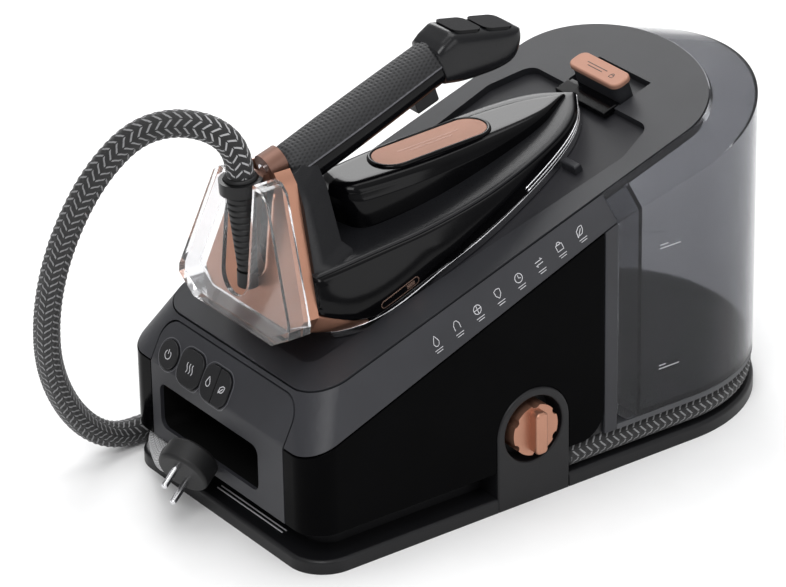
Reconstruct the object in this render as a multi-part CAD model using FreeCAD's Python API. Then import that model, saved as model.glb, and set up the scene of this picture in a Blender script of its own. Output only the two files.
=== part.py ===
import FreeCAD, Part
import math
import os

# Steam generator iron: a base station with a water tank, and an iron docked on its sloping top.
# Millimetres, +Z up, -Y is the end with the controls, +X is the side with the rinse valve.
# The origin is the middle of the underside.

V = FreeCAD.Vector
NODES = {}

# ---- station ----
BASE_HALF = 114.0
BASE_FRONT = -222.5
BASE_CORNER = 28.0
BASE_TOP = 10.5
REAR_Y = 108.5             # centre of the round rear end
BODY_HALF = 113.0
BODY_FRONT = -222.0
BODY_CORNER = 22.0
BODY_LOW = 30.5            # lower edge of the body, over the hose groove
GROOVE = 21.5              # depth of the hose groove
SKIN = 3.0                 # outer panels
FRAME = 2.5                # inner frame behind them
TOP_Z = 194.0              # height of the sloping top at y = 0
SLOPE = 18.8               # degrees, rising to the rear
CREASE_Z = 176.0           # height of the crease below the top at y = 0
CREASE_RISE = 0.395
TANK_CREASE_Z = 181.5      # the tank's crease rises less
TANK_CREASE_RISE = 0.25
SEAM_HALF = 94.0
SEAM_FRONT = -215.5        # along the slope
SEAM_CORNER = 26.0
COVER_MID = 118.3          # centre of the cover's round rear end, along the slope
COVER_REACH = 63.0
COVER_THICK = 8.0
GAP = 1.0                  # seam between two panels
PANEL_HALF = 80.0          # front panel
PANEL_TOP = 119.0
STATION_REAR = 38.0        # where the tank begins
TANK_LOW = 35.0
TANK_WALL = 2.6
TANK_GAP = 0.5
# ---- front compartment ----
BAY = (-70.0, 50.0, 41.0, 76.0)     # left, right, bottom, top
BAY_DEPTH = 66.0
# ---- rinse valve ----
VALVE_Y = -36.0
VALVE_Z = 56.0
BRACKET_R = 31.0
CUP_R = 24.5
CUP_DEPTH = 17.0
KNOB_R = 19.0
# ---- hose ----
HOSE = 19.0
HOSE_Z = 20.3
HOSE_SIDE = 102.5
LOOP_ROUTE = [
    (0, -195, 253), (0, -196, 270), (-6, -209, 288), (-19, -232, 296), (-33, -256, 289),
    (-46, -277, 263), (-59, -291, 229), (-73, -299, 189), (-87, -300, 145), (-100, -293, 101),
    (-110, -277, 62), (-117, -255, 31), (-122, -229, 12), (-125, -198, 9.7),
]
HOSE_SPLIT = V(-125.0, -186.0, 10.2)   # the moving part of the hose ends here
SPLIT_GAP = 0.5
STORED_ROUTE = [
    (-125, -171, 10.8), (-121, -154, 16.5), (-112.5, -132, 20.8), (-103.5, -108, 20.8), (-102.5, -76, 20.3),
    (-102.5, 151, 20.3), (-42.5, 211, 20.3), (42.5, 211, 20.3), (102.5, 151, 20.3), (102.5, -2, 20.3),
]
# ---- iron, along the slope (u), across it (x) and up from it (w) ----
SOLE_LOW = -4.6
SOLE_TOP = 1.0
# the deck's edge from the rear to the nose, as (u, w)
DECK_LINE = [(-230, 63), (-147, 45.5), (-85, 32.5), (-30, 23), (30, 15.5), (96, 8.5), (140, 4)]
DECK_THICK = 2.5
SADDLE_W = 70.0           # height of the saddle's top at SADDLE_U
SADDLE_U = -99.0
SADDLE_FALL = 16.5        # degrees, toward the nose
RECESS = 5.0


def box(x0, x1, y0, y1, z0, z1):
    return Part.makeBox(x1 - x0, y1 - y0, z1 - z0, V(x0, y0, z0))


def cyl(radius, start, end):
    start = V(*start)
    along = V(*end) - start
    return Part.makeCylinder(radius, along.Length, start, along)


def cone(r1, r2, start, end):
    start = V(*start)
    along = V(*end) - start
    return Part.makeCone(r1, r2, along.Length, start, along)


def joined(first, *others):
    return first.fuse(list(others)).removeSplitter()


def without(shape, *tools):
    return shape.cut(list(tools))


def on_slope(shape):
    """From slope coordinates (x, u, w) to the part's own."""
    out = shape.copy()
    out.rotate(V(0, 0, 0), V(1, 0, 0), SLOPE)
    out.translate(V(0, 0, TOP_Z))
    return out


def keep(name, shape):
    """Adds a finished piece: one solid, or several equal ones."""
    solids = shape.Solids
    assert solids and all(s.isValid() and s.Volume > 0 for s in solids), name
    NODES[name] = solids[0] if len(solids) == 1 else Part.makeCompound(solids)


def largest(shape):
    return max(shape.Solids, key=lambda s: s.Volume)


def e_along(edge):
    tangent = edge.tangentAt(edge.FirstParameter)
    return V(abs(tangent.x), abs(tangent.y), abs(tangent.z))


def is_circle(edge):
    return edge.Curve.TypeId == "Part::GeomCircle"


def rounded(shape, radius, wanted):
    """Rounds the edges for which wanted(middle point, edge) is true; leaves the shape if it can't."""
    edges = []
    for e in shape.Edges:
        first, last = e.ParameterRange
        if wanted(e.valueAt((first + last) / 2), e):
            edges.append(e)
    if not edges:
        return shape
    try:
        out = shape.makeFillet(radius, edges)
        return out if out.isValid() and out.Solids else shape
    except Exception:
        print("left sharp:", radius)
        return shape


def station_outline(half, front, corner, rear_r, z):
    """The plan outline: straight front with round corners, straight sides and a round rear."""
    c = 0.7071
    s, m = half - corner, front + corner
    pts = [
        (V(-s, front, z), None, V(s, front, z)),
        (V(s, front, z), V(s + corner * c, m - corner * c, z), V(half, m, z)),
        (V(half, m, z), None, V(half, REAR_Y, z)),
        (V(half, REAR_Y, z), V(rear_r * c, REAR_Y + rear_r * c, z), V(0, REAR_Y + rear_r, z)),
        (V(0, REAR_Y + rear_r, z), V(-rear_r * c, REAR_Y + rear_r * c, z), V(-half, REAR_Y, z)),
        (V(-half, REAR_Y, z), None, V(-half, m, z)),
        (V(-half, m, z), V(-s - corner * c, m - corner * c, z), V(-s, front, z)),
    ]
    edges = []
    for a, mid, b in pts:
        edges.append(Part.makeLine(a, b) if mid is None else Part.Arc(a, mid, b).toShape())
    return Part.Wire(edges)


def base_prism(inset, z0, z1):
    wire = station_outline(BASE_HALF - inset, BASE_FRONT + inset,
                           BASE_CORNER - inset * 0.55, BASE_HALF - inset, z0)
    return Part.Face(wire).extrude(V(0, 0, z1 - z0))


def seam_wire(inset, w, seam_front=SEAM_FRONT):
    """The edge of the top cover, in slope coordinates."""
    half, front = SEAM_HALF - inset, seam_front + inset
    corner, reach = SEAM_CORNER - inset, COVER_REACH - inset
    c = 0.7071
    s, m = half - corner, front + corner
    ellipse = Part.Ellipse(V(0, COVER_MID, w), half, reach)
    quarter = math.pi / 2
    return Part.Wire([
        Part.makeLine(V(-s, front, w), V(s, front, w)),
        Part.Arc(V(s, front, w), V(s + corner * c, m - corner * c, w), V(half, m, w)).toShape(),
        Part.makeLine(V(half, m, w), V(half, COVER_MID, w)),
        ellipse.toShape(0, quarter),
        ellipse.toShape(quarter, 2 * quarter),
        Part.makeLine(V(-half, COVER_MID, w), V(-half, m, w)),
        Part.Arc(V(-half, m, w), V(-s - corner * c, m - corner * c, w), V(-s, front, w)).toShape(),
    ])


def cover_prism(inset, w0, w1):
    return on_slope(Part.Face(seam_wire(inset, w0)).extrude(V(0, 0, w1 - w0)))


def below_slope(w):
    return on_slope(box(-400, 400, -500, 500, -700, w))


def below_crease(drop, height=CREASE_Z, rise=CREASE_RISE):
    half_space = box(-400, 400, -600, 600, -900, 0)
    half_space.rotate(V(0, 0, 0), V(1, 0, 0), math.degrees(math.atan(rise)))
    half_space.translate(V(0, 0, height - drop))
    return half_space


def body(inset, height=CREASE_Z, rise=CREASE_RISE, body_front=BODY_FRONT, seam_front=SEAM_FRONT):
    """The whole body above the groove, drawn in from its surface by inset."""
    half, front = BODY_HALF - inset, body_front + inset
    corner = max(BODY_CORNER - inset, 4.0)
    low = station_outline(half, front, corner, half, 0)
    tub = Part.Face(low).extrude(V(0, 0, 400)).common(below_crease(0.4 * inset, height, rise))
    tub = tub.cut(box(-300, 300, -400, 400, -10, BODY_LOW))
    shear = FreeCAD.Matrix(1, 0, 0, 0, 0, 1, 0, 0, 0, rise, 1, height - 0.4 * inset, 0, 0, 0, 1)
    crease = Part.Wire([e.transformGeometry(shear) for e in low.OrderedEdges])
    bevel = Part.makeLoft([crease, on_slope(seam_wire(inset, -inset, seam_front))], True, True)
    return tub.fuse(bevel)


def pill(half_x, half_y, z0, z1, cx=0.0, cy=0.0, corner=None):
    """A slab with rounded corners, standing along Z."""
    r = corner if corner is not None else min(half_x, half_y) - 0.01
    slab = box(cx - half_x, cx + half_x, cy - half_y, cy + half_y, z0, z1)
    return rounded(slab, r, lambda m, e: e_along(e).z > 0.9)


def tube_along(points, radius):
    """A round tube on straight runs joined by tangent arcs; prints how tightly each arc turns."""
    pts = [V(*p) for p in points]
    edges, at, radii = [], pts[0], []
    for before, here, after in zip(pts, pts[1:], pts[2:]):
        come, go = here - before, after - here
        shorter = min(come.Length, go.Length)
        come.normalize()
        go.normalize()
        turn = come.getAngle(go)
        reach = 0.45 * shorter
        radii.append(reach / math.tan(turn / 2))
        start, end = here - come * reach, here + go * reach
        bisect = go - come
        bisect.normalize()
        far = radii[-1] / math.cos(turn / 2) - radii[-1]
        edges.append(Part.LineSegment(at, start).toShape())
        edges.append(Part.Arc(start, here + bisect * far, end).toShape())
        at = end
    edges.append(Part.LineSegment(at, pts[-1]).toShape())
    path = Part.Wire(edges)
    first = edges[0].tangentAt(edges[0].FirstParameter)
    ring = Part.Wire(Part.makeCircle(radius, pts[0], first))
    tube = path.makePipeShell([ring], True, True)
    ideal = math.pi * radius ** 2 * path.Length
    print("radii", [round(r) for r in radii], "length", round(path.Length),
          "volume share", round(tube.Volume / ideal, 4), "lowest", round(tube.BoundBox.ZMin, 2))
    return tube


# ---------------------------------------------------------------- station
OUTER = body(0.0)
INNER = body(SKIN)
CORE = body(SKIN + FRAME)
SHELL = OUTER.cut(INNER)


def tank_body(inset):
    """The body over the tank, from a little in front of it."""
    return body(inset, TANK_CREASE_Z, TANK_CREASE_RISE, -60.0, -56.0)


def bracket_block(grow):
    r = BRACKET_R + grow
    back = BASE_HALF - GROOVE
    block = box(back, BASE_HALF, VALVE_Y - r, VALVE_Y + r, 0, VALVE_Z)
    return joined(block, cyl(r, (back, VALVE_Y, VALVE_Z), (BASE_HALF, VALVE_Y, VALVE_Z)))


def valve_bracket():
    block = bracket_block(0)
    cup = cyl(CUP_R, (BASE_HALF - CUP_DEPTH, VALVE_Y, VALVE_Z), (BASE_HALF + 1, VALVE_Y, VALVE_Z))
    bore = cyl(9, (BASE_HALF - GROOVE - 1, VALVE_Y, VALVE_Z), (BASE_HALF, VALVE_Y, VALVE_Z))
    keep("valve_bracket", rounded(without(block, cup, bore), 1.6,
                                  lambda m, e: abs(m.x - BASE_HALF) < 0.1 and m.z > 3))
    seat = cyl(12, (74, VALVE_Y, VALVE_Z), (92.5, VALVE_Y, VALVE_Z))
    seat = joined(seat, cyl(9, (92, VALVE_Y, VALVE_Z), (96, VALVE_Y, VALVE_Z)))
    keep("valve_seat", seat.cut(cyl(6, (80, VALVE_Y, VALVE_Z), (97, VALVE_Y, VALVE_Z))))


def valve_knob():
    x0, x1 = BASE_HALF - CUP_DEPTH + 2.6, BASE_HALF + 2
    dial = cyl(KNOB_R, (x0, VALVE_Y, VALVE_Z), (x1, VALVE_Y, VALVE_Z))
    flutes = []
    for turn in range(30, 390, 60):
        y = VALVE_Y + (KNOB_R + 1.5) * math.cos(math.radians(turn))
        z = VALVE_Z + (KNOB_R + 1.5) * math.sin(math.radians(turn))
        flutes.append(cyl(3.5, (x0 - 1, y, z), (x1 + 1, y, z)))
    dial = rounded(without(dial, *flutes), 1.5, lambda m, e: abs(m.x - x1) < 0.1)
    grip = box(x1 - 1, x1 + 8, VALVE_Y - 5, VALVE_Y + 5, VALVE_Z - 16, VALVE_Z + 16)
    grip = rounded(grip, 3.5, lambda m, e: e_along(e).x > 0.9)
    grip = rounded(grip, 2.0, lambda m, e: abs(m.x - x1 - 8) < 0.1)
    stem = cyl(5.7, (81, VALVE_Y, VALVE_Z), (x0 + 1, VALVE_Y, VALVE_Z))
    keep("valve_knob", joined(dial, grip, stem))
    floor = BASE_HALF - CUP_DEPTH
    ring = cyl(17, (floor + 0.3, VALVE_Y, VALVE_Z), (x0, VALVE_Y, VALVE_Z))
    keep("valve_seal", ring.cut(cyl(9.2, (floor, VALVE_Y, VALVE_Z), (x0, VALVE_Y, VALVE_Z))))


def base_plate():
    plate = base_prism(0, 0, BASE_TOP)
    plate = rounded(plate, 3.0, lambda m, e: abs(m.z - BASE_TOP) < 0.1)
    plinth = base_prism(GROOVE, BASE_TOP - 0.5, BODY_LOW)
    hollow = base_prism(GROOVE + 3, 3.0, BODY_LOW + 1)
    pads = [cyl(13, (x, y, -1), (x, y, 2)) for x, y in PAD_PLACES]
    plate = without(joined(plate, plinth), hollow, bracket_block(0), *pads)
    stands = [box(x - 4, x + 4, y - 8, y + 8, 2, 50) for x in (-26, 26) for y in (-112, -56)]
    plate = joined(plate, *stands).cut(boiler_outside())
    keep("base_plate", largest(plate))
    keep("foot_pads", Part.makeCompound([cyl(13, (x, y, 0), (x, y, 2)) for x, y in PAD_PLACES]))


def boiler_outside():
    drum = cyl(46, (0, -128, 84), (0, -40, 84))
    return rounded(drum, 12, lambda m, e: is_circle(e))


PAD_PLACES = [(x, y) for x in (-84, 84) for y in (-188, 120)]


def front_zone(grow, top):
    half = PANEL_HALF + grow
    zone = box(-half, half, -260, -188, BODY_LOW - 1, top + grow)
    return rounded(zone, 16, lambda m, e: e_along(e).y > 0.9 and m.z > 60)


def bay_box(grow, y0, y1):
    left, right, low, high = BAY
    block = box(left - grow, right + grow, y0, y1, low - grow, high + grow)
    return rounded(block, 7 + grow, lambda m, e: e_along(e).y > 0.9)


# name: middle across the panel, half width, half height
BUTTONS = {"power": (-63.0, 10.5, 10.5), "boost": (-36.0, 13.5, 13.0), "mode": (-5.0, 15.5, 13.0)}


def front_frame():
    """The slanted button face: a point on it, its upward direction and its outward normal."""
    low = V(0, BODY_FRONT, CREASE_Z + CREASE_RISE * BODY_FRONT)
    c, s = math.cos(math.radians(SLOPE)), math.sin(math.radians(SLOPE))
    high = V(0, SEAM_FRONT * c, TOP_Z + SEAM_FRONT * s)
    up = high - low
    length = up.Length
    up.normalize()
    return low, up, V(0, -up.z, up.y), length


def on_front(shape):
    """From button coordinates (x, up the slanted face, out of it) to the part's own."""
    low, up, out, length = front_frame()
    moved = shape.copy()
    turn = FreeCAD.Rotation(V(1, 0, 0), up, out, "XYZ")
    moved.Placement = FreeCAD.Placement(low, turn).multiply(moved.Placement)
    return moved


BUTTON_UP = 11.0
BUTTON_PROUD = 1.6
BUTTON_DEEP = 5.0


def button_shape(which, grow, z0, z1):
    x, hx, hy = BUTTONS[which]
    if which == "power":
        return pill(hx + grow, hy + grow, z0, z1, x, BUTTON_UP)
    return pill(hx + grow, hy + grow, z0, z1, x, BUTTON_UP, 9 + grow)


def front_parts():
    wells = [on_front(button_shape(b, 0.35, -12, 8)) for b in BUTTONS]
    panel = SHELL.common(front_zone(0, PANEL_TOP))
    panel = without(panel, bay_box(0, -260, -190), *wells)
    keep("front_panel", largest(panel))
    liner = bay_box(2, BODY_FRONT + SKIN, BODY_FRONT + BAY_DEPTH)
    keep("cord_bay", liner.cut(bay_box(0, BODY_FRONT, BODY_FRONT + BAY_DEPTH - 2)))
    for name in ("power", "boost"):
        cap = button_shape(name, 0, -BUTTON_DEEP, BUTTON_PROUD)
        cap = rounded(cap, 0.9, lambda m, e: abs(m.z - BUTTON_PROUD) < 0.05)
        keep(name + "_button", on_front(cap))
    x = BUTTONS["mode"][0]
    for side, name in ((-1, "rinse_button"), (1, "eco_button")):
        cap = button_shape("mode", 0, -BUTTON_DEEP, BUTTON_PROUD)
        near, far = sorted((x + side * 0.4, x + side * 40))
        cap = cap.common(box(near, far, -40, 60, -20, 20))
        cap = rounded(cap, 0.8, lambda m, e: abs(m.z - BUTTON_PROUD) < 0.05)
        keep(name, on_front(cap))
    board = box(-76, 14, BUTTON_UP - 14, BUTTON_UP + 14, -11.0, -9.4)
    keep("button_board", on_front(board))


def side_panels():
    low = SHELL.common(below_crease(GAP / 2))
    low = without(low, front_zone(GAP, PANEL_TOP), bracket_block(0.2),
                  box(-300, 300, STATION_REAR - 12, 400, 0, 400))
    start = STATION_REAR - 32
    corner = box(-300, 300, start, STATION_REAR, BODY_LOW - 1, BODY_LOW + 20)
    low = low.cut(corner.cut(cyl(20, (-300, start, BODY_LOW + 20), (300, start, BODY_LOW + 20))))
    for side, name in ((1, "side_panel_right"), (-1, "side_panel_left")):
        half = box(0, 300, -400, 400, 0, 400) if side > 0 else box(-300, 0, -400, 400, 0, 400)
        keep(name, largest(low.common(half)))


def rear_frame():
    """The matte frame that the tank docks against."""
    strip = without(SHELL.common(below_crease(GAP / 2)),
                    box(-300, 300, -400, STATION_REAR - 12 + GAP, 0, 400),
                    box(-300, 300, STATION_REAR, 400, 0, 400))
    wall = INNER.common(box(-300, 300, STATION_REAR - 3, STATION_REAR, 0, 400))
    wall = wall.common(below_slope(-COVER_THICK))
    port = cyl(11, (0, STATION_REAR - 8, 52), (0, STATION_REAR + 4, 52))
    keep("rear_frame", joined(strip, wall).cut(port))


def tank_floor_rim():
    """The sill under the tank: what is left of the body below the tank."""
    sill = OUTER.common(box(-300, 300, STATION_REAR, 400, BODY_LOW, TANK_LOW - TANK_GAP))
    keep("tank_sill", sill)


def top_shell():
    """The bevelled band round the top."""
    band = SHELL.cut(below_crease(-GAP / 2))
    band = without(band, cover_prism(-GAP, -40, 20), front_zone(GAP, PANEL_TOP),
                   box(-300, 300, STATION_REAR, 400, 0, 500))
    keep("bevel_band", largest(band))


def inner_frame():
    frame = INNER.cut(CORE)
    frame = without(frame, box(-300, 300, STATION_REAR - 3, 400, 0, 500), bay_box(2, -260, -150),
                    bracket_block(0), on_slope(box(-300, 300, -400, 400, -8, 300)),
                    *[on_front(button_shape(b, 0.35, -15, 8)) for b in BUTTONS])
    keep("inner_frame", largest(frame))


def recess_prism(inset, w0, w1):
    """The place for the iron: wider to the rear, with round corners."""
    half = [(61 - inset, -196 + inset), (77 - inset, 74), (66 - inset, 107 - inset)]
    pts = [V(x, y, w0) for x, y in half] + [V(-x, y, w0) for x, y in reversed(half)]
    wire = Part.makePolygon(pts + pts[:1])
    block = Part.Face(wire).extrude(V(0, 0, w1 - w0))
    block = rounded(block, 12, lambda m, e: e_along(e).z > 0.9)
    return on_slope(block)


# the lock slider on the cover, along the slope
LOCK_LOW, LOCK_HIGH = 113.0, 141.0
TONGUE_LOW, TONGUE_HIGH = 97.6, 110.0


def top_cover():
    cover = cover_prism(0, -COVER_THICK, 0)
    well = on_slope(box(-29, 29, LOCK_LOW - 1.5, LOCK_HIGH, -6, 10))
    tongue_slot = on_slope(box(-28, 28, TONGUE_LOW - 0.5, LOCK_LOW + 3, -3.4, 10))
    cover = without(cover, recess_prism(0, -RECESS - 1.6, 10), well, tongue_slot)
    keep("top_cover", largest(cover))
    mat = recess_prism(0.4, -RECESS - 1.6, -RECESS)
    keep("rest_mat", mat)


def lock():
    slider = pill(26, 7.5, -5.6, 11.0, 0, LOCK_LOW + 8, 6)
    slider = rounded(slider, 1.5, lambda m, e: abs(m.z - 11) < 0.1)
    keep("lock_slider", on_slope(slider))
    cap = pill(27.5, 8.6, 11.0, 14.5, 0, LOCK_LOW + 8, 6.5)
    keep("lock_cap", on_slope(rounded(cap, 1.5, lambda m, e: abs(m.z - 14.5) < 0.1)))


def lock_tongue():
    plate = box(-27.5, 27.5, TONGUE_LOW, LOCK_LOW + 0.5, -3, -0.4)
    raised = box(-27.5, 27.5, TONGUE_LOW, TONGUE_HIGH, -3, 1.4)
    tongue = rounded(joined(plate, raised), 0.8, lambda m, e: abs(m.z - 1.4) < 0.1)
    keep("lock_tongue", on_slope(tongue))


def clip():
    hook = box(41, 57, 46, 52, -RECESS, -RECESS + 6)
    keep("iron_stop", on_slope(rounded(hook, 1.5, lambda m, e: m.z > 0)))


# ---------------------------------------------------------------- inside the station
def inside():
    room = rounded(cyl(44, (0, -126, 84), (0, -42, 84)), 10,
                   lambda m, e: is_circle(e))
    keep("boiler", boiler_outside().cut(room))
    ring = Part.makeTorus(28, 3.5, V(0, -36.5, 84), V(0, 1, 0))
    keep("heating_element", ring)
    motor = cyl(17, (44, 4, 50), (44, 30, 50))
    keep("water_pump", joined(motor, box(30, 58, 6, 26, 8, 40), box(26, 62, 2, 30, 3, 9)))
    valve = joined(box(-60, -30, -8, 20, 60, 86), cyl(7, (-45, 6, 85), (-45, 6, 104)),
                   box(-56, -34, -2, 14, 3, 61))
    keep("steam_valve", valve)
    posts = [box(-84.5, -80, y, y + 8, 3, 44) for y in (-112, -20)]
    keep("power_board", joined(box(-88, -84, -120, 0, 40, 110), *posts))
    keep("tank_port", joined(cyl(10.8, (0, STATION_REAR - 14, 52), (0, STATION_REAR - 0.2, 52)),
                             cyl(5, (0, STATION_REAR - 1, 52), (0, STATION_REAR + 6, 52))))


# ---------------------------------------------------------------- water tank
def water_tank():
    rear = box(-300, 300, STATION_REAR + 0.6, 400, TANK_LOW, 400)
    outer = tank_body(0).common(rear)
    outer = outer.cut(cover_prism(-0.8, -9.0, 60))
    front_low = box(-300, 300, 0, STATION_REAR + 12, TANK_LOW - 1, TANK_LOW + 12)
    front_low = front_low.cut(cyl(12, (-300, STATION_REAR + 12.6, TANK_LOW + 12),
                                  (300, STATION_REAR + 12.6, TANK_LOW + 12)))
    outer = outer.cut(front_low)
    room = tank_body(TANK_WALL).common(box(-300, 300, STATION_REAR + 22, 400, TANK_LOW + 3, 400))
    recess = box(-300, 300, 0, STATION_REAR + 19, 0, 400).common(tank_body(TANK_WALL))
    mouth = cover_prism(6, -80, 30).common(box(-300, 300, STATION_REAR + 22, 400, TANK_LOW + 3, 400))
    tank = without(outer, room, recess, mouth)
    port = cyl(6.5, (0, STATION_REAR + 10, 52), (0, STATION_REAR + 30, 52))
    keep("water_tank", largest(tank.cut(port)))
    keep("tank_valve", joined(cyl(6.5, (0, STATION_REAR + 19, 52), (0, STATION_REAR + 22, 52)),
                              cyl(9, (0, STATION_REAR + 22, 52), (0, STATION_REAR + 26, 52))))


# ---------------------------------------------------------------- iron
# half widths of the soleplate along the slope
SOLE_HALF = [(-135, 63.5), (-79, 62), (-51, 60.4), (0, 52.7), (49, 38.4), (78, 22.5)]
SOLE_REAR = (-165, 47)
NOSE = 96.5


def sole_wire(inset, w, nose_pull=0.0, rear_pull=0.0):
    """The soleplate's outline drawn in by inset, as two curves and a straight rear edge."""
    rear_u = SOLE_REAR[0] + inset + rear_pull
    tip_u = NOSE - inset * 1.6 - nose_pull
    span = (tip_u - rear_u) / (NOSE - SOLE_REAR[0])
    pts = [V(SOLE_REAR[1] - inset * 0.8, rear_u, w)]
    for u, half in SOLE_HALF:
        pts.append(V(half - inset, rear_u + (u - SOLE_REAR[0]) * span, w))
    tip = V(0, tip_u, w)
    curve = Part.BSplineCurve()
    curve.interpolate(pts + [tip])
    other = Part.BSplineCurve()
    other.interpolate([tip] + [V(-p.x, p.y, p.z) for p in reversed(pts)])
    rear = Part.makeLine(V(-pts[0].x, rear_u, w), pts[0])
    return Part.Wire([rear, curve.toShape(), other.toShape()])


def sole_prism(inset, w0, w1, nose_pull=0.0, rear_pull=0.0):
    return Part.Face(sole_wire(inset, w0, nose_pull, rear_pull)).extrude(V(0, 0, w1 - w0))


def sole_loft(sections):
    """A ruled body through outlines given as (inset, w, nose pull, rear pull)."""
    return Part.makeLoft([sole_wire(i, w, n, r) for i, w, n, r in sections], True, True)


def under_deck(drop):
    """Everything under the deck, which falls toward the nose."""
    top = Part.BSplineCurve()
    top.interpolate([V(-200, u, w - drop) for u, w in DECK_LINE])
    first, last = top.value(top.FirstParameter), top.value(top.LastParameter)
    corners = [last, V(-200, last.y, -300), V(-200, first.y, -300), first]
    outline = Part.Wire([top.toShape()] + Part.makePolygon(corners).Edges)
    return Part.Face(outline).extrude(V(400, 0, 0))


SKIRT_SECTIONS = [(0.4, SOLE_TOP, 0, 0), (-1.2, 12, 1, -14), (1.5, 24, 5, -24), (9.0, 42, 15, -40),
                  (13.0, 54, 24, -48)]


def skirt_volume(inset):
    return sole_loft([(i + inset, w, n, r) for i, w, n, r in SKIRT_SECTIONS])


def tail_zone(grow):
    """Behind the slanted line where the copper frame takes over from the skirt."""
    line = [(-230, -1), (-143 + grow, -1), (-143 + grow, 3 + grow), (-152, 9 + grow), (-172, 24 + grow),
            (-190, 46 + grow), (-230, 46 + grow)]
    return on_slope(side_profile(line, 100))


def iron_lower():
    plate = sole_prism(0, SOLE_LOW, SOLE_TOP)
    holes = []
    for u, half in [(-100, 44), (-60, 42), (-20, 36), (20, 27), (50, 17), (70, 8)]:
        for side in (-1, 1):
            for share, along in ((1.0, 0), (0.7, 8)):
                x, y = side * half * share, u + along
                holes.append(cyl(1.5, (x, y, SOLE_LOW - 1), (x, y, SOLE_TOP + 1)))
    keep("soleplate", on_slope(without(plate, *holes)))
    chamber = sole_prism(10, SOLE_TOP, 12, 30, 8)
    steam_room = sole_prism(16, SOLE_TOP + 3, 9, 40, 18)
    spigot = cyl(5, (0, -120, 11), (0, -120, 33))
    bore = cyl(3, (0, -120, 5), (0, -120, 34))
    chamber = joined(chamber.common(under_deck(3.2)), spigot)
    keep("steam_chamber", on_slope(chamber.cut(steam_room).cut(bore)))
    skirt = skirt_volume(0).common(under_deck(0))
    hollow = skirt_volume(3).common(under_deck(2.6)).cut(box(-200, 200, -400, -162, -10, 90))
    skirt = on_slope(largest(skirt.cut(hollow))).cut(behind(FRAME_REAR + FRAME_THICK))
    keep("skirt", largest(skirt.cut(tail_zone(0.3))))
    NODES["heel_frame"] = skirt.common(tail_zone(0))
    keep("thermostat", on_slope(cyl(10, (0, -60, 12), (0, -60, 20))))
    deck = skirt_volume(1.0).common(under_deck(-DECK_THICK)).cut(under_deck(0))
    keep("deck", largest(on_slope(deck).cut(behind(FRAME_REAR + FRAME_THICK))))


def saddle_outline(half, u0, u1, w):
    """A blunt rear end, nearly straight sides and a pointed front."""
    right = [V(0, u0, w), V(half * 0.75, u0 + 5, w), V(half, u0 + 22, w), V(half, u0 + 80, w),
             V(half * 0.62, u0 + 0.8 * (u1 - u0), w), V(0, u1, w)]
    edges = []
    for pts in (right, [V(-p.x, p.y, p.z) for p in reversed(right)]):
        curve = Part.BSplineCurve()
        curve.interpolate(pts)
        edges.append(curve.toShape())
    return Part.Wire(edges)


def on_crown(shape, u):
    """Lays a shape drawn at w = 0 on the saddle's falling top, at u along the slope."""
    laid = shape.copy()
    laid.rotate(V(0, 0, 0), V(1, 0, 0), -SADDLE_FALL)
    laid.translate(V(0, u, SADDLE_W - (u - SADDLE_U) * math.tan(math.radians(SADDLE_FALL))))
    return laid


def saddle():
    """The long crowned housing over the deck, pointed at the nose and lower there."""
    outlines = [saddle_outline(29, -113, 89, 0), saddle_outline(26, -112, 86, 46),
                saddle_outline(20, -108, 70, 76)]
    housing = Part.makeLoft(outlines, True, True)
    above = on_crown(box(-60, 60, -300, 300, 0, 60), SADDLE_U)
    badge = on_crown(pill(14, 46, -0.4, 1.3), -24.5)
    keep("saddle", on_slope(largest(without(housing, above, under_deck(-DECK_THICK), badge))))
    keep("badge", on_slope(badge))


def side_profile(points, half):
    pts = [V(-half, u, w) for u, w in points]
    return Part.Face(Part.makePolygon(pts + [pts[0]])).extrude(V(2 * half, 0, 0))


# the post's cross-sections: height, half width, and how far forward its sides and its middle reach
POST_SECTIONS = [(20, 60, -147, -127), (46, 51.5, -147, -127), (54, 48, -153, -131),
                 (89, 33, -140.5, -119.8), (100, 25, -137, -117), (107, 18, -134, -116)]
POST_BACK = -215.0
FRAME_THICK = 13.0        # the copper frame behind it


def post_block():
    wires = []
    for w, half, side_u, middle_u in POST_SECTIONS:
        right = [(half - 5, POST_BACK), (half, side_u - 6), (half, side_u), (half - 9, middle_u)]
        pts = [V(x, u, w) for x, u in right] + [V(-x, u, w) for x, u in reversed(right)]
        wires.append(Part.makePolygon(pts + pts[:1]))
    return on_slope(Part.makeLoft(wires, True, True))


def behind(y):
    """Everything behind a leaning plane that passes y at the heel's foot."""
    return trapezoid([(-200, 0), (200, 0), (200, 500), (-200, 500)], -600, y, HEEL_LEAN)


def column():
    """The hollow post at the rear that carries the handle."""
    post = without(post_block(), on_slope(under_deck(-DECK_THICK)), behind(FRAME_REAR + FRAME_THICK))
    inside = [(-158, 30), (-140, 30), (-142, 66), (-142, 84), (-150, 92), (-156, 86)]
    keep("rear_column", largest(post.cut(on_slope(side_profile(inside, 15)))))


BAR_START, BAR_END = V(0, -140, 98.5), V(0, 6, 103)


def bar(radius, start_share, end_share):
    a = BAR_START + (BAR_END - BAR_START) * start_share
    b = BAR_START + (BAR_END - BAR_START) * end_share
    return cyl(radius, (a.x, a.y, a.z), (b.x, b.y, b.z))


# keys along the head's slanted top, from its rear edge
HEAD_BUTTONS = {"steam_shot_button": (3.0, 27.5), "mode_select_button": (30.0, 55.0)}
HEAD_FALL = 29.5          # degrees, toward the nose
HEAD_HALF = 17.5
HEAD_SIDE = [(-4, 88), (10, 80), (22, 76), (46, 71), (56, 78), (64.5, 94.6), (12.5, 124), (2, 121)]


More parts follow.
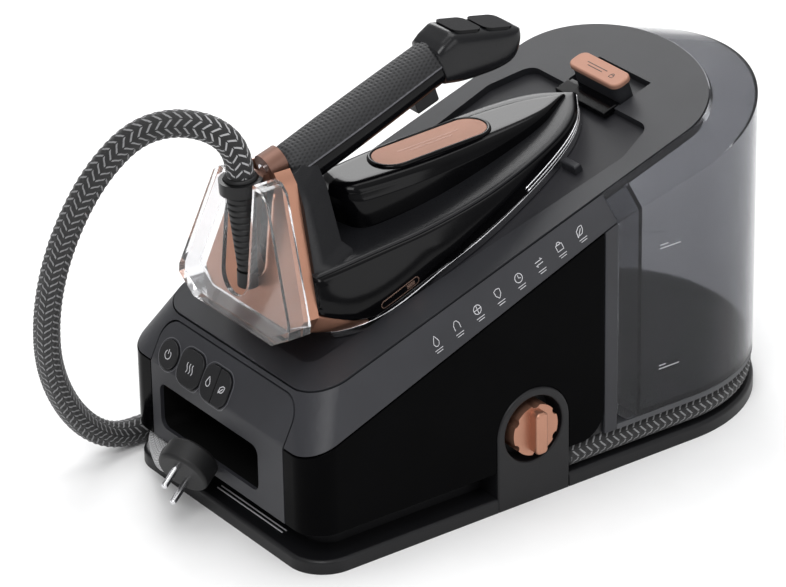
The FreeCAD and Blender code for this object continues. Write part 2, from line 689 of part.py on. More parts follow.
def head_button(name, grow, low, high):
    """A key on the head's slanted top."""
    start, end = HEAD_BUTTONS[name]
    key = pill(13 + grow, (end - start) / 2 + grow, low, high, 0, (start + end) / 2, 6)
    key.rotate(V(0, 0, 0), V(1, 0, 0), -HEAD_FALL)
    key.translate(V(0, 12.5, 124))
    return key


def handle():
    post = NODES["rear_column"]
    core = on_slope(bar(12, 0, 1.0)).cut(post_block())
    wiring = on_slope(bar(7, -0.2, 1.1))
    trigger_well = box(-6.5, 6.5, -28.6, -8.4, 70, 93)
    keep("handle_core", largest(core.cut(wiring).cut(on_slope(trigger_well))))
    grip = bar(17.3, 0.1, 0.9).cut(bar(12, 0, 1.0))
    grip = rounded(grip, 2.5, lambda m, e: is_circle(e) and e.Curve.Radius > 15)
    keep("soft_grip", on_slope(grip.cut(trigger_well)).cut(post))
    head = side_profile(HEAD_SIDE, HEAD_HALF)
    head = rounded(head, 6, lambda m, e: abs(abs(m.x) - HEAD_HALF) < 0.1)
    head = head.cut(bar(17.4, 0, 0.9)).cut(bar(12, 0, 1.0))
    wells = [head_button(name, 0.3, -6, 20) for name in HEAD_BUTTONS]
    keep("control_head", on_slope(largest(without(head, *wells))))
    for name in HEAD_BUTTONS:
        keep(name, on_slope(head_button(name, 0, -4.0, 1.2)))
    trigger = box(-6, 6, -28, -9, 77, 88)
    trigger = rounded(trigger, 2.5, lambda m, e: m.z < 80)
    keep("steam_trigger", on_slope(trigger))


def trapezoid(points, y0, y1, lean):
    """A plate with its outline in the XZ plane, from y0 to y1, sheared to lean with height."""
    wire = Part.makePolygon([V(x, y0 + (z - HEEL_LOW) * lean, z) for x, z in points + points[:1]])
    return Part.Face(wire).extrude(V(0, y1 - y0, 0))


HEEL_LOW = 147.0
HEEL_LEAN = 0.1
FRAME_REAR = -188.0
BOOT_LOW, BOOT_HIGH = V(0, -191, 182), V(0, -195, 252.7)


def channel(half, low, y0, y1):
    slot = box(-half, half, y0, y1, low, 300)
    return rounded(slot, half - 0.1, lambda m, e: e_along(e).y > 0.9 and m.z < low + 1)


HEEL_REST_OUTLINE = [(47, 147), (66, 158), (66, 164), (31, 246), (24, 251)]
HEEL_FRAME_OUTLINE = [(50, 150), (57, 162), (23, 246), (14, 254)]


def both_sides(right):
    """A closed outline from its right half."""
    return right + [(-x, z) for x, z in reversed(right)]


def heel():
    """The copper frame at the rear end and the clear plate on it, which the iron can stand on."""
    frame = trapezoid(both_sides(HEEL_FRAME_OUTLINE), FRAME_REAR, FRAME_REAR + FRAME_THICK, HEEL_LEAN)
    over_sole = on_slope(box(-200, 200, -400, 400, -100, SOLE_TOP))
    iron_solid = on_slope(skirt_volume(0).common(under_deck(-DECK_THICK)))
    iron_solid = iron_solid.cut(behind(FRAME_REAR + FRAME_THICK))
    frame = without(frame, iron_solid, over_sole, channel(13.5, 176, -260, -100))
    keep("heel_frame", largest(joined(frame, NODES["heel_frame"])))
    plate = trapezoid(both_sides(HEEL_REST_OUTLINE), -206, FRAME_REAR, HEEL_LEAN)
    hollow = [(x * 0.93, 151 + (z - HEEL_LOW) * 0.92) for x, z in HEEL_REST_OUTLINE]
    plate = without(plate, trapezoid(both_sides(hollow), -202.6, -180, HEEL_LEAN),
                    channel(15.5, 166, -260, -100), NODES["heel_frame"], iron_solid, over_sole)
    keep("heel_rest", largest(plate))
    inlet = joined(cyl(8, (0, BOOT_LOW.y, 170), (0, BOOT_LOW.y, 181.2)),
                   cyl(6, (0, BOOT_LOW.y, 174), (0, FRAME_REAR + 2, 174)))
    keep("hose_inlet", inlet.cut(NODES["heel_frame"]))
    keep("hose_boot", cone(7.5, 12, tuple(BOOT_LOW), tuple(BOOT_HIGH)))
    collar()


def collar():
    """The cap that holds the boot's wide end and lets it turn."""
    along = BOOT_HIGH - BOOT_LOW
    ring = cyl(15.2, tuple(BOOT_LOW + along * 0.84), tuple(BOOT_LOW + along * 0.97))
    arm = box(-5, 5, -184, -165, 242, 250)
    cap = cyl(10, (0, -176, 252), (0, -163, 256))
    screw = cyl(4.2, (0, -177.2, 251.6), (0, -176, 252))
    turning = cone(7.9, 12.5, tuple(BOOT_LOW), tuple(BOOT_HIGH + along * 0.02))
    standing = [NODES[n] for n in ("heel_frame", "heel_rest", "rear_column", "handle_core")]
    keep("hose_collar", largest(without(joined(ring, arm, cap), turning, screw, *standing)))
    keep("collar_screw", screw)


PLUG_AT = V(-7.9, -240.9, 44.3)
PLUG_OUT = V(0.32, -0.83, -0.46)
LEAD = 17.0
LEAD_ROUTE = [(-102.5, -176.8, 20), (-101, -196, 20), (-92, -210, 20), (-76, -219, 20), (-59, -227, 21.5),
              (-44, -234, 28), (-31, -237, 37)]


def mains():
    """The sleeved end of the mains lead parked in the front groove, and its angled plug."""
    along = V(PLUG_OUT)
    along.normalize()
    back = PLUG_AT - along * 9
    disc = Part.makeCylinder(19.5, 18, back, along)
    disc = rounded(disc, 3.0, lambda m, e: is_circle(e))
    entry = V(*LEAD_ROUTE[-1])
    into = PLUG_AT - entry
    into.normalize()
    neck = Part.makeCone(11.5, 12.5, 14, entry, into)
    plug = joined(disc, neck)
    across = along.cross(V(0, 0, 1))
    across.normalize()
    rise = across.cross(along)
    pins = []
    for side in (-1, 1):
        foot = PLUG_AT + rise * (9.5 * side)
        pins.append(Part.makeCylinder(2.4, 19 + 4, foot + along * 5, along))
        pins[-1] = rounded(pins[-1], 1.5, lambda m, e: is_circle(e) and (m - foot).dot(along) > 20)
    lead = tube_along(LEAD_ROUTE, LEAD / 2)
    keep("plug_body", largest(without(plug, lead, *pins)))
    keep("plug_pins", Part.makeCompound(pins))
    keep("mains_lead", lead)
    gland = box(-112, -BASE_HALF + GROOVE, -176, -168, BASE_TOP, BODY_LOW)
    keep("lead_gland", rounded(gland, 2, lambda m, e: m.x < -111.9))
    outlet = cyl(9.7, (HOSE_SIDE, VALVE_Y + BRACKET_R, HOSE_Z), (HOSE_SIDE, -2, HOSE_Z))
    keep("hose_outlet", outlet)


base_plate()
valve_bracket()
valve_knob()
front_parts()
side_panels()
rear_frame()
tank_floor_rim()
top_shell()
inner_frame()
top_cover()
lock()
lock_tongue()
clip()
inside()
water_tank()
iron_lower()
saddle()
column()
handle()
heel()
mains()
loop = tube_along(LOOP_ROUTE + [(HOSE_SPLIT.x, HOSE_SPLIT.y, HOSE_SPLIT.z)], HOSE / 2)
keep("hose_loop", loop)
split = (HOSE_SPLIT.x, HOSE_SPLIT.y + SPLIT_GAP, HOSE_SPLIT.z)
stored = tube_along([split] + STORED_ROUTE, HOSE / 2)
keep("hose_stored", stored)

os.makedirs("parts", exist_ok=True)
for name, shape in NODES.items():
    shape.exportStep("parts/" + name + ".step")
print(len(NODES), "nodes")
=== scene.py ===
import math

import bmesh
import bpy
from mathutils import Matrix, Vector
from mathutils.bvhtree import BVHTree


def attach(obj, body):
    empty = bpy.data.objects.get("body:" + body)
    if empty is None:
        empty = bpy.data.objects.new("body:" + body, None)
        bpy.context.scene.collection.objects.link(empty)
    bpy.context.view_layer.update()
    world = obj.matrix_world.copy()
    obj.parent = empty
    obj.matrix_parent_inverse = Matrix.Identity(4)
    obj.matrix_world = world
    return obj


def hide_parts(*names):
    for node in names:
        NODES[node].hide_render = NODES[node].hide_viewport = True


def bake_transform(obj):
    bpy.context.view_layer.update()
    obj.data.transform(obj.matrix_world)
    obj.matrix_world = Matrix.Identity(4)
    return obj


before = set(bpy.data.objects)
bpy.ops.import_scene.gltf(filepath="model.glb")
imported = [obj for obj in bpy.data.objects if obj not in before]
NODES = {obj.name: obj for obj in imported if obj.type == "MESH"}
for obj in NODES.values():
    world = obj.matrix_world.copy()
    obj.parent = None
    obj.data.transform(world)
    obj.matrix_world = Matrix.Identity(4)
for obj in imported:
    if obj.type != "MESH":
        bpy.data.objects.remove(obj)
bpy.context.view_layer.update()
MM = 0.001
TAU = 2 * math.pi

# the station's top slopes by this much; the iron is described in millimetres along it
SLOPE = math.radians(18.8)
SLOPE_COS, SLOPE_SIN = math.cos(SLOPE), math.sin(SLOPE)
TOP_Z = 194.0


def slope(x, u, w):
    """A point across, along and up from the station's sloping top, in the frame's metres."""
    return Vector((x, SLOPE_COS * u - SLOPE_SIN * w, TOP_Z + SLOPE_SIN * u + SLOPE_COS * w)) * MM


# ---------------------------------------------------------------- camera
def make_camera():
    azimuth, elevation, roll = (math.radians(a) for a in (54.529, 26.884, -1.066))
    back = Vector((math.sin(azimuth) * math.cos(elevation), -math.cos(azimuth) * math.cos(elevation),
                   math.sin(elevation)))
    right = Vector((math.cos(azimuth), math.sin(azimuth), 0))
    up = back.cross(right)
    right, up = (right * math.cos(roll) + up * math.sin(roll), up * math.cos(roll) - right * math.sin(roll))
    data = bpy.data.cameras.new("camera")
    data.sensor_width = 36
    data.lens = 202.2
    data.clip_end = 50
    camera = bpy.data.objects.new("camera", data)
    bpy.context.scene.collection.objects.link(camera)
    place = Vector((-0.0244, -0.0543, 0.1105)) + back * 3.101
    camera.matrix_world = Matrix.Translation(place) @ Matrix((right, up, back)).transposed().to_4x4()
    bpy.context.scene.camera = camera


make_camera()


# ---------------------------------------------------------------- building blocks
def piece(name, verts, faces, body, material, smooth=True, uvs=None, replaces=()):
    """Links a mesh, gives it a material and lets it ride on a body, if one is given.

    uvs holds one pair for each corner of each face."""
    mesh = bpy.data.meshes.new(name)
    mesh.from_pydata([tuple(v) for v in verts], [], faces)
    if uvs:
        layer = mesh.uv_layers.new(name="along")
        for loop in mesh.loops:
            layer.data[loop.index].uv = uvs[loop.index]
    mesh.validate()
    if smooth:
        mesh.shade_smooth()
    mesh.materials.append(material)
    obj = bpy.data.objects.new(name, mesh)
    bpy.context.scene.collection.objects.link(obj)
    if replaces:
        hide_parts(*replaces)
    if body:
        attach(obj, body)
    return obj


def outward(obj):
    """Turns every face of a closed mesh to look out."""
    bm = bmesh.new()
    bm.from_mesh(obj.data)
    bmesh.ops.recalc_face_normals(bm, faces=bm.faces)
    bm.to_mesh(obj.data)
    bm.free()
    return obj


BEVEL_SEGMENTS, BEVEL_ANGLE = 2, 32
WELD_DISTANCE, NORMAL_WEIGHT = 1e-6, 80


def soften(obj, width):
    """Rounds the sharp edges a little, as moulded parts are."""
    weld = obj.modifiers.new("weld", "WELD")
    weld.merge_threshold = WELD_DISTANCE
    bevel = obj.modifiers.new("bevel", "BEVEL")
    bevel.width = width * MM
    bevel.segments = BEVEL_SEGMENTS
    bevel.limit_method = "ANGLE"
    bevel.angle_limit = math.radians(BEVEL_ANGLE)
    bevel.harden_normals = False
    bevel.use_clamp_overlap = True
    normal = obj.modifiers.new("normals", "WEIGHTED_NORMAL")
    normal.keep_sharp = False
    normal.weight = NORMAL_WEIGHT
    return obj


def ring_faces(rings, count):
    """Quads between closed rings of count points each."""
    faces = []
    for k in range(rings - 1):
        for i in range(count):
            j = (i + 1) % count
            faces.append((k * count + i, k * count + j, (k + 1) * count + j, (k + 1) * count + i))
    return faces


POINTS_PER_RUN = 24


def nurbs_points(route):
    """Points along the route's own NURBS spline, in metres."""
    curve = bpy.data.curves.new("route", "CURVE")
    curve.dimensions = "3D"
    curve.resolution_u = POINTS_PER_RUN
    spline = curve.splines.new("NURBS")
    spline.points.add(len(route) - 1)
    for point, xyz in zip(spline.points, route):
        point.co = (*(Vector(xyz) * MM), 1)
    spline.order_u = 3
    spline.use_endpoint_u = True
    obj = bpy.data.objects.new("route", curve)
    bpy.context.scene.collection.objects.link(obj)
    bpy.context.view_layer.update()
    mesh = bpy.data.meshes.new_from_object(obj)
    points = [v.co.copy() for v in mesh.vertices]
    bpy.data.objects.remove(obj)
    bpy.data.curves.remove(curve)
    bpy.data.meshes.remove(mesh)
    return points


def evenly(points, step):
    """The same line with points a step apart."""
    lengths = [0.0]
    for a, b in zip(points, points[1:]):
        lengths.append(lengths[-1] + (b - a).length)
    count = max(2, round(lengths[-1] / step))
    out, k = [], 0
    for i in range(count + 1):
        at = lengths[-1] * i / count
        while k < len(points) - 2 and lengths[k + 1] < at:
            k += 1
        span = lengths[k + 1] - lengths[k]
        out.append(points[k].lerp(points[k + 1], (at - lengths[k]) / span if span else 0))
    return out, lengths[-1]


def frames_along(points):
    """A sideways and an upward direction at each point, turning as little as they can."""
    tangents = []
    for i in range(len(points)):
        tangents.append((points[min(i + 1, len(points) - 1)] - points[max(i - 1, 0)]).normalized())
    side = tangents[0].cross(Vector((0.1, 0.2, 1))).normalized()
    out = []
    for t in tangents:
        side = (side - t * side.dot(t)).normalized()
        out.append((side, t.cross(side)))
    return out


def tube(name, points, radius, body, material, around=16, replaces=()):
    """A mesh tube; radius is a number in metres or a function of (share along, angle, distance).

    Its coordinates are the share round it and the distance along it in tenths of a metre."""
    verts, uvs, run = [], [], 0.0
    for i, (p, (a, b)) in enumerate(zip(points, frames_along(points))):
        run += (p - points[i - 1]).length if i else 0
        for k in range(around):
            turn = TAU * k / around
            r = radius(i / (len(points) - 1), turn, run) if callable(radius) else radius
            verts.append(p + (a * math.cos(turn) + b * math.sin(turn)) * r)
            uvs.append((k / around, run))
    faces = ring_faces(len(points), around)
    loops = []
    for f in faces:
        seam = f[1] % around == 0
        for n, v in enumerate(f):
            u, along = uvs[v]
            loops.append((1.0 if seam and n in (1, 2) else u, along / MM / 100))
    last = (len(points) - 1) * around
    faces.append(tuple(range(around - 1, -1, -1)))
    faces.append(tuple(last + k for k in range(around)))
    loops += [(0.5, 0)] * around + [(0.5, run / MM / 100)] * around
    return piece(name, verts, faces, body, material, uvs=loops, replaces=replaces)


# ---------------------------------------------------------------- materials
def new_material(name):
    material = bpy.data.materials.new(name)
    material.use_nodes = True
    tree = material.node_tree
    shader = tree.nodes["Principled BSDF"]
    return material, tree, shader


def node(tree, kind, links=(), **values):
    """Adds a node, sets its properties or inputs, and links sockets into it."""
    made = tree.nodes.new(kind)
    for key, value in values.items():
        if hasattr(made, key) and key not in [s.name for s in made.inputs]:
            setattr(made, key, value)
        else:
            made.inputs[key.replace("_", " ")].default_value = value
    for socket, source in dict(links).items():
        tree.links.new(source, made.inputs[socket])
    return made


def ramp(tree, source, stops):
    """The colour output of a ramp with stops given as (position, colour)."""
    made = tree.nodes.new("ShaderNodeValToRGB")
    tree.links.new(source, made.inputs["Fac"])
    elements = made.color_ramp.elements
    elements[0].position, elements[0].color = stops[0][0], (*stops[0][1], 1)
    elements[1].position, elements[1].color = stops[-1][0], (*stops[-1][1], 1)
    for position, colour in stops[1:-1]:
        elements.new(position).color = (*colour, 1)
    return made.outputs["Color"]


def plastic(name, colour, rough, specular=0.5, grain=1400, depth=0.00002, blotch=0.12, metallic=0.0,
            transmission=0.0, ior=1.45, rough_spread=0.08, stretch=None):
    """Moulded, painted or brushed stuff: fine grain in the relief, cloudy colour and uneven gloss."""
    material, tree, shader = new_material(name)
    where = tree.nodes.new("ShaderNodeTexCoord").outputs["Object"]
    if stretch:
        where = node(tree, "ShaderNodeMapping", {"Vector": where}, Scale=stretch).outputs["Vector"]
    clouds = node(tree, "ShaderNodeTexNoise", {"Vector": where}, Scale=26.0, Detail=4.0)
    fine = node(tree, "ShaderNodeTexNoise", {"Vector": where}, Scale=grain, Detail=2.0)
    low = tuple(max(0.0, c * (1 - blotch)) for c in colour)
    high = tuple(min(1.0, c * (1 + blotch)) for c in colour)
    tree.links.new(ramp(tree, clouds.outputs["Fac"], [(0.3, low), (0.7, high)]), shader.inputs["Base Color"])
    gloss = node(tree, "ShaderNodeMapRange", {"Value": fine.outputs["Fac"]})
    gloss.inputs["To Min"].default_value = max(0.02, rough - rough_spread)
    gloss.inputs["To Max"].default_value = min(1.0, rough + rough_spread)
    tree.links.new(gloss.outputs["Result"], shader.inputs["Roughness"])
    bump = node(tree, "ShaderNodeBump", {"Height": fine.outputs["Fac"]}, Strength=0.5)
    bump.inputs["Distance"].default_value = depth
    tree.links.new(bump.outputs["Normal"], shader.inputs["Normal"])
    shader.inputs["Specular IOR Level"].default_value = specular
    shader.inputs["Metallic"].default_value = metallic
    shader.inputs["Transmission Weight"].default_value = transmission
    shader.inputs["IOR"].default_value = ior
    return material


def math_nodes(tree):
    """A function that adds a Math node to the tree and gives its output."""
    def add(kind, a, b=None, clamp=False):
        made = tree.nodes.new("ShaderNodeMath")
        made.operation = kind
        made.use_clamp = clamp
        for i, v in enumerate((a, b)):
            if v is None:
                continue
            if isinstance(v, (int, float)):
                made.inputs[i].default_value = v
            else:
                tree.links.new(v, made.inputs[i])
        return made.outputs[0]
    return add


CHEVRON_SLANT = 1.7        # slope of a chevron's arm: pitches along for one zigzag's width round


def braid(name, dark, light, zigzags, pitch, share, painted_sheen_from=None):
    """Plaited thread in chevrons round a tube, drawn from its own coordinates: round, and along in 0.1 m.
    From a given length on, its lit threads are painted brighter as a painted highlight.
    """
    material, tree, shader = new_material(name)
    uv = tree.nodes.new("ShaderNodeUVMap")
    uv.uv_map = "along"
    split = node(tree, "ShaderNodeSeparateXYZ", {"Vector": uv.outputs["UV"]})
    math_node = math_nodes(tree)
    zig = math_node("PINGPONG", math_node("MULTIPLY", split.outputs["X"], zigzags), 0.5)
    along = math_node("MULTIPLY", split.outputs["Y"], 100 / pitch)
    stripe = math_node("FRACT", math_node("ADD", along, math_node("MULTIPLY", zig, CHEVRON_SLANT)))
    threads = math_node("FRACT", math_node("MULTIPLY", stripe, 3.0))
    lit = math_node("LESS_THAN", stripe, share)
    gaps = math_node("GREATER_THAN", threads, 0.22)
    lit = math_node("MULTIPLY", lit, gaps)
    edge = math_node("LESS_THAN", math_node("ABSOLUTE", math_node("SUBTRACT", zig, 0.25)), 0.21)
    lit = math_node("MULTIPLY", lit, edge)
    where = tree.nodes.new("ShaderNodeTexCoord").outputs["Object"]
    fuzz = node(tree, "ShaderNodeTexNoise", {"Vector": where}, Scale=900.0, Detail=3.0)
    lit = math_node("MULTIPLY", lit, math_node("ADD", math_node("MULTIPLY", fuzz.outputs["Fac"], 0.7), 0.55))
    # painted highlight: from the given length along, toward the hose's end at the boot, the lit threads are
    # painted brighter; before it they are dimmed
    if painted_sheen_from is not None:
        painted_sheen = node(tree, "ShaderNodeMapRange", {"Value": split.outputs["Y"]})
        painted_sheen.inputs["From Min"].default_value = painted_sheen_from
        painted_sheen.inputs["From Max"].default_value = painted_sheen_from + 0.25
        painted_sheen.inputs["To Min"].default_value = 0.62
        painted_sheen.inputs["To Max"].default_value = 1.25
        lit = math_node("MULTIPLY", lit, painted_sheen.outputs["Result"])
    mix = tree.nodes.new("ShaderNodeMix")
    mix.data_type = "RGBA"
    mix.inputs["A"].default_value = (*dark, 1)
    mix.inputs["B"].default_value = (*light, 1)
    tree.links.new(math_node("ADD", lit, 0.0, True), mix.inputs["Factor"])
    tree.links.new(mix.outputs["Result"], shader.inputs["Base Color"])
    bump = node(tree, "ShaderNodeBump", {"Height": threads}, Strength=0.5)
    bump.inputs["Distance"].default_value = 0.0003
    tree.links.new(bump.outputs["Normal"], shader.inputs["Normal"])
    shader.inputs["Roughness"].default_value = 0.75
    shader.inputs["Sheen Weight"].default_value = 0.15
    return material


def two_tone(name, rear, front, border):
    """One satin colour behind a plane across the part and another in front of it."""
    material, tree, shader = new_material(name)
    where = tree.nodes.new("ShaderNodeTexCoord").outputs["Object"]
    split = node(tree, "ShaderNodeSeparateXYZ", {"Vector": where})
    clouds = node(tree, "ShaderNodeTexNoise", {"Vector": where}, Scale=60.0, Detail=3.0)
    side = node(tree, "ShaderNodeMapRange", {"Value": split.outputs["Y"]})
    side.inputs["From Min"].default_value = border
    side.inputs["From Max"].default_value = border + 0.001
    colours = ramp(tree, side.outputs["Result"], [(0.0, rear), (1.0, front)])
    tree.links.new(colours, shader.inputs["Base Color"])
    gloss = node(tree, "ShaderNodeMapRange", {"Value": clouds.outputs["Fac"]})
    gloss.inputs["To Min"].default_value = 0.3
    gloss.inputs["To Max"].default_value = 0.5
    tree.links.new(gloss.outputs["Result"], shader.inputs["Roughness"])
    shader.inputs["Metallic"].default_value = 0.4
    return material


def dimpled(name, colour, dark, across, along):
    """Soft rubber with staggered rows of small round dimples, laid out by its own coordinates, each dimple
    painted darker as painted shade.
    """
    material, tree, shader = new_material(name)
    uv = tree.nodes.new("ShaderNodeUVMap")
    uv.uv_map = "along"
    split = node(tree, "ShaderNodeSeparateXYZ", {"Vector": uv.outputs["UV"]})
    calc = math_nodes(tree)
    rows = calc("MULTIPLY", split.outputs["Y"], along)
    shift = calc("MULTIPLY", calc("FLOOR", rows), 0.5)
    places = calc("FRACT", calc("ADD", calc("MULTIPLY", split.outputs["X"], across), shift))
    dx = calc("SUBTRACT", places, 0.5)
    dy = calc("SUBTRACT", calc("FRACT", rows), 0.5)
    far = calc("SQRT", calc("ADD", calc("MULTIPLY", dx, dx), calc("MULTIPLY", dy, dy)))
    # painted shade: the colour darkens toward each dimple's centre
    dimple_shade = node(tree, "ShaderNodeMapRange", {"Value": far})
    dimple_shade.inputs["From Min"].default_value = 0.2
    dimple_shade.inputs["From Max"].default_value = 0.36
    colours = ramp(tree, dimple_shade.outputs["Result"], [(0.0, dark), (1.0, colour)])
    tree.links.new(colours, shader.inputs["Base Color"])
    where = tree.nodes.new("ShaderNodeTexCoord").outputs["Object"]
    fine = node(tree, "ShaderNodeTexNoise", {"Vector": where}, Scale=1500.0, Detail=2.0)
    bump = node(tree, "ShaderNodeBump", {"Height": fine.outputs["Fac"]}, Strength=0.4)
    bump.inputs["Distance"].default_value = 0.00004
    tree.links.new(bump.outputs["Normal"], shader.inputs["Normal"])
    shader.inputs["Roughness"].default_value = 0.55
    shader.inputs["Specular IOR Level"].default_value = 0.35
    shader.inputs["Sheen Weight"].default_value = 0.1
    return material


DIMPLES_ACROSS, DIMPLES_ALONG = 15, 44
HOSE_ZIGZAGS, HOSE_PITCH = 5, 6.0
LEAD_ZIGZAGS, LEAD_PITCH = 8, 3.6

SHELL = plastic("shell_matte", (0.022, 0.0225, 0.0265), 0.46, 0.4)
COVER = plastic("cover_matte", (0.0175, 0.018, 0.021), 0.46, 0.35)
MAT_DARK = plastic("recess_matte", (0.011, 0.011, 0.0135), 0.5, 0.3)
GLOSS = plastic("gloss_black", (0.0016, 0.0016, 0.002), 0.13, 0.17, grain=300, depth=0.000004, blotch=0.3,
                rough_spread=0.03)
PANEL_GLOSS = plastic("panel_gloss", (0.0006, 0.0006, 0.0008), 0.12, 0.03, grain=300, depth=0.000004,
                      blotch=0.3, rough_spread=0.03)
IRON_SATIN = plastic("iron_satin", (0.006, 0.0062, 0.0072), 0.24, 0.35, grain=800, depth=0.00001)
DECK_SATIN = plastic("deck_satin", (0.0065, 0.0067, 0.0078), 0.3, 0.36)
BASE_BLACK = plastic("base_black", (0.006, 0.006, 0.007), 0.4, 0.35)
BAY_BLACK = plastic("bay_black", (0.002, 0.002, 0.002), 0.7, 0.12)
BUTTON = plastic("button_black", (0.008, 0.008, 0.009), 0.4, 0.35)
COPPER = plastic("copper", (0.46, 0.235, 0.16), 0.4, 0.5, grain=900, depth=0.00001, blotch=0.06,
                 metallic=0.85)
COPPER_SOFT = plastic("copper_soft", (0.36, 0.19, 0.135), 0.55, 0.3, grain=900, depth=0.00001, blotch=0.06,
                      metallic=0.35)
COPPER_LIGHT = plastic("copper_light", (0.7, 0.45, 0.35), 0.25, 0.5, blotch=0.05, metallic=0.9)
COPPER_DARK = plastic("copper_dark", (0.2, 0.105, 0.075), 0.36, 0.5, blotch=0.2, metallic=0.7)
COLLAR = two_tone("collar", (0.006, 0.006, 0.0065), (0.17, 0.085, 0.06), -0.184)
CHROME = plastic("chrome", (0.75, 0.75, 0.77), 0.16, 0.5, grain=500, depth=0.000006, blotch=0.05,
                 metallic=1.0)
STEEL = plastic("sole_steel", (0.62, 0.62, 0.64), 0.24, 0.5, grain=500, blotch=0.08, metallic=1.0,
                stretch=(1, 0.08, 0.3))
TANK = plastic("tank_smoke", (0.36, 0.365, 0.385), 0.07, 0.5, grain=200, depth=0.000004, blotch=0.05,
               transmission=0.96, ior=1.2, rough_spread=0.03)
CLEAR = plastic("clear_plastic", (0.93, 0.93, 0.94), 0.06, 0.6, grain=200, depth=0.000004, blotch=0.02,
                transmission=0.97, ior=1.35, rough_spread=0.03)
SILL_GREY = plastic("sill_grey", (0.06, 0.061, 0.066), 0.5, 0.4)
RUBBER = plastic("boot_rubber", (0.007, 0.007, 0.0075), 0.5, 0.4)
# the grip's second colour is the painted shade in its dimples
GRIP = dimpled("grip_rubber", (0.014, 0.0143, 0.016), (0.004, 0.004, 0.0045), DIMPLES_ACROSS,
               DIMPLES_ALONG)
TRIM = plastic("trim_grey", (0.1, 0.1, 0.11), 0.35, 0.5)
MARK = plastic("mark_grey", (0.5, 0.5, 0.52), 0.6, 0.3)
INSIDE = plastic("inside_grey", (0.09, 0.09, 0.095), 0.6, 0.4)
BRASS = plastic("valve_brass", (0.6, 0.45, 0.22), 0.3, 0.5, metallic=1.0)
BOARD = plastic("board_green", (0.02, 0.13, 0.05), 0.5, 0.5)
# the hose's lit threads are painted brighter near its end at the boot: a painted highlight
HOSE_BRAID = braid("hose_braid", (0.006, 0.006, 0.0065), (0.34, 0.34, 0.35), HOSE_ZIGZAGS, HOSE_PITCH,
                   0.34, painted_sheen_from=11.3)
LEAD_BRAID = braid("lead_braid", (0.17, 0.17, 0.175), (0.62, 0.62, 0.63), LEAD_ZIGZAGS, LEAD_PITCH, 0.6)

# ---------------------------------------------------------------- cords
# the hose, from its outlet behind the valve round the rear, forward, and up over the heel
HOSE_ROUTE = [
    (102.5, -2, 20.3), (102.5, 66, 20.3), (102.5, 151, 20.3), (42.5, 211, 20.3), (-42.5, 211, 20.3),
    (-102.5, 151, 20.3), (-102.5, 66, 20.3), (-102.5, -76, 20.3), (-103.5, -108, 20.8),
    (-112.5, -132, 20.8), (-121, -154, 16.5), (-125, -171, 10.8), (-125, -186, 10.2),
    (-125, -198, 9.7), (-122, -229, 12), (-117, -255, 31), (-110, -277, 62), (-100, -293, 101),
    (-87, -300, 145), (-73, -299, 189), (-59, -291, 229), (-46, -277, 263), (-33, -256, 289),
    (-19, -232, 296), (-6, -209, 288), (0, -196, 270), (0, -195, 253),
]
LEAD_ROUTE = [(-102.5, -176.8, 20), (-101, -196, 20), (-92, -210, 20), (-76, -219, 20), (-59, -227, 21.5),
              (-44, -234, 28), (-31, -237, 37)]
HOSE_R, LEAD_R = 9.35, 8.3


def plaited(radius, zigzags, pitch, depth):
    """The radius of a tube raised in chevrons; those of the braid material point the other way."""
    def at(share, turn, run):
        zig = abs((zigzags * turn / TAU) % 1 - 0.5)
        lift = 0.5 - 0.5 * math.cos(TAU * (run / MM / pitch + CHEVRON_SLANT * zig))
        return (radius + depth * lift) * MM
    return at


def make_cords():
    """The steam hose, between the station and the iron, and the mains lead's sleeve."""
    points, length = evenly(nurbs_points(HOSE_ROUTE), 1.25 * MM)
    thread = plaited(HOSE_R - 0.35, HOSE_ZIGZAGS, HOSE_PITCH, 0.6)
    hose = tube("hose", points, thread, None, HOSE_BRAID, 40, ("hose_loop", "hose_stored"))
    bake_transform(hose)
    points, length = evenly(nurbs_points(LEAD_ROUTE), 1.0 * MM)
    thread = plaited(LEAD_R - 0.1, LEAD_ZIGZAGS, LEAD_PITCH, 0.35)
    lead = tube("mains_sleeve", points, thread, "station", LEAD_BRAID, 48, ("mains_lead",))


make_cords()

# ---------------------------------------------------------------- iron
SOLE_HALF = [(-135, 63.5), (-79, 62), (-51, 60.4), (0, 52.7), (49, 38.4), (78, 22.5)]
SOLE_REAR_U, SOLE_REAR_HALF, NOSE = -165.0, 47.0, 96.5
# height, inset, how far the nose and the rear are drawn forward
HULL_ROWS = [(1, 0.4, 0, 0), (12, -1.2, 1, -14), (24, 1.5, 5, -24), (42, 9, 15, -40), (54, 13, 24, -48),
             (66, 17, 34, -56)]
DECK_LINE = [(-230, 63), (-147, 45.5), (-85, 32.5), (-30, 23), (30, 15.5), (96, 8.5), (140, 4)]
DECK_THICK = 2.5
# where the copper tail begins, along and up
TAIL_LINE = [(-230, 95), (-190, 46.3), (-172, 24.3), (-152, 9.3), (-142.7, 3.3), (-142.6, 1), (200, 1)]
# the crown of the saddle: its height at one place, and how it falls toward the nose
CROWN_W, CROWN_U, CROWN_ANGLE = 70.0, -99.0, math.radians(16.5)
SADDLE_ROWS = [(0, 29, -113, 89), (46, 26, -112, 86), (76, 20, -108, 70)]
BADGE_U = -24.5
HALVINGS = 22              # steps of a search for a crossing
HEEL_Y, HEEL_Z, HEEL_LEAN, FRAME_THICK = -188.0, 147.0, 0.1, 13.0


def spline_at(points, t):
    """The point at t spans along a smooth line through the points."""
    k = min(int(t), len(points) - 2)
    f = t - k
    p1, p2 = Vector(points[k]), Vector(points[k + 1])
    p0 = Vector(points[k - 1]) if k else p1 * 2 - p2
    p3 = Vector(points[k + 2]) if k + 2 < len(points) else p2 * 2 - p1
    return 0.5 * (2 * p1 + (p2 - p0) * f + (2 * p0 - 5 * p1 + 4 * p2 - p3) * f * f
                  + (3 * p1 - p0 - 3 * p2 + p3) * f ** 3)


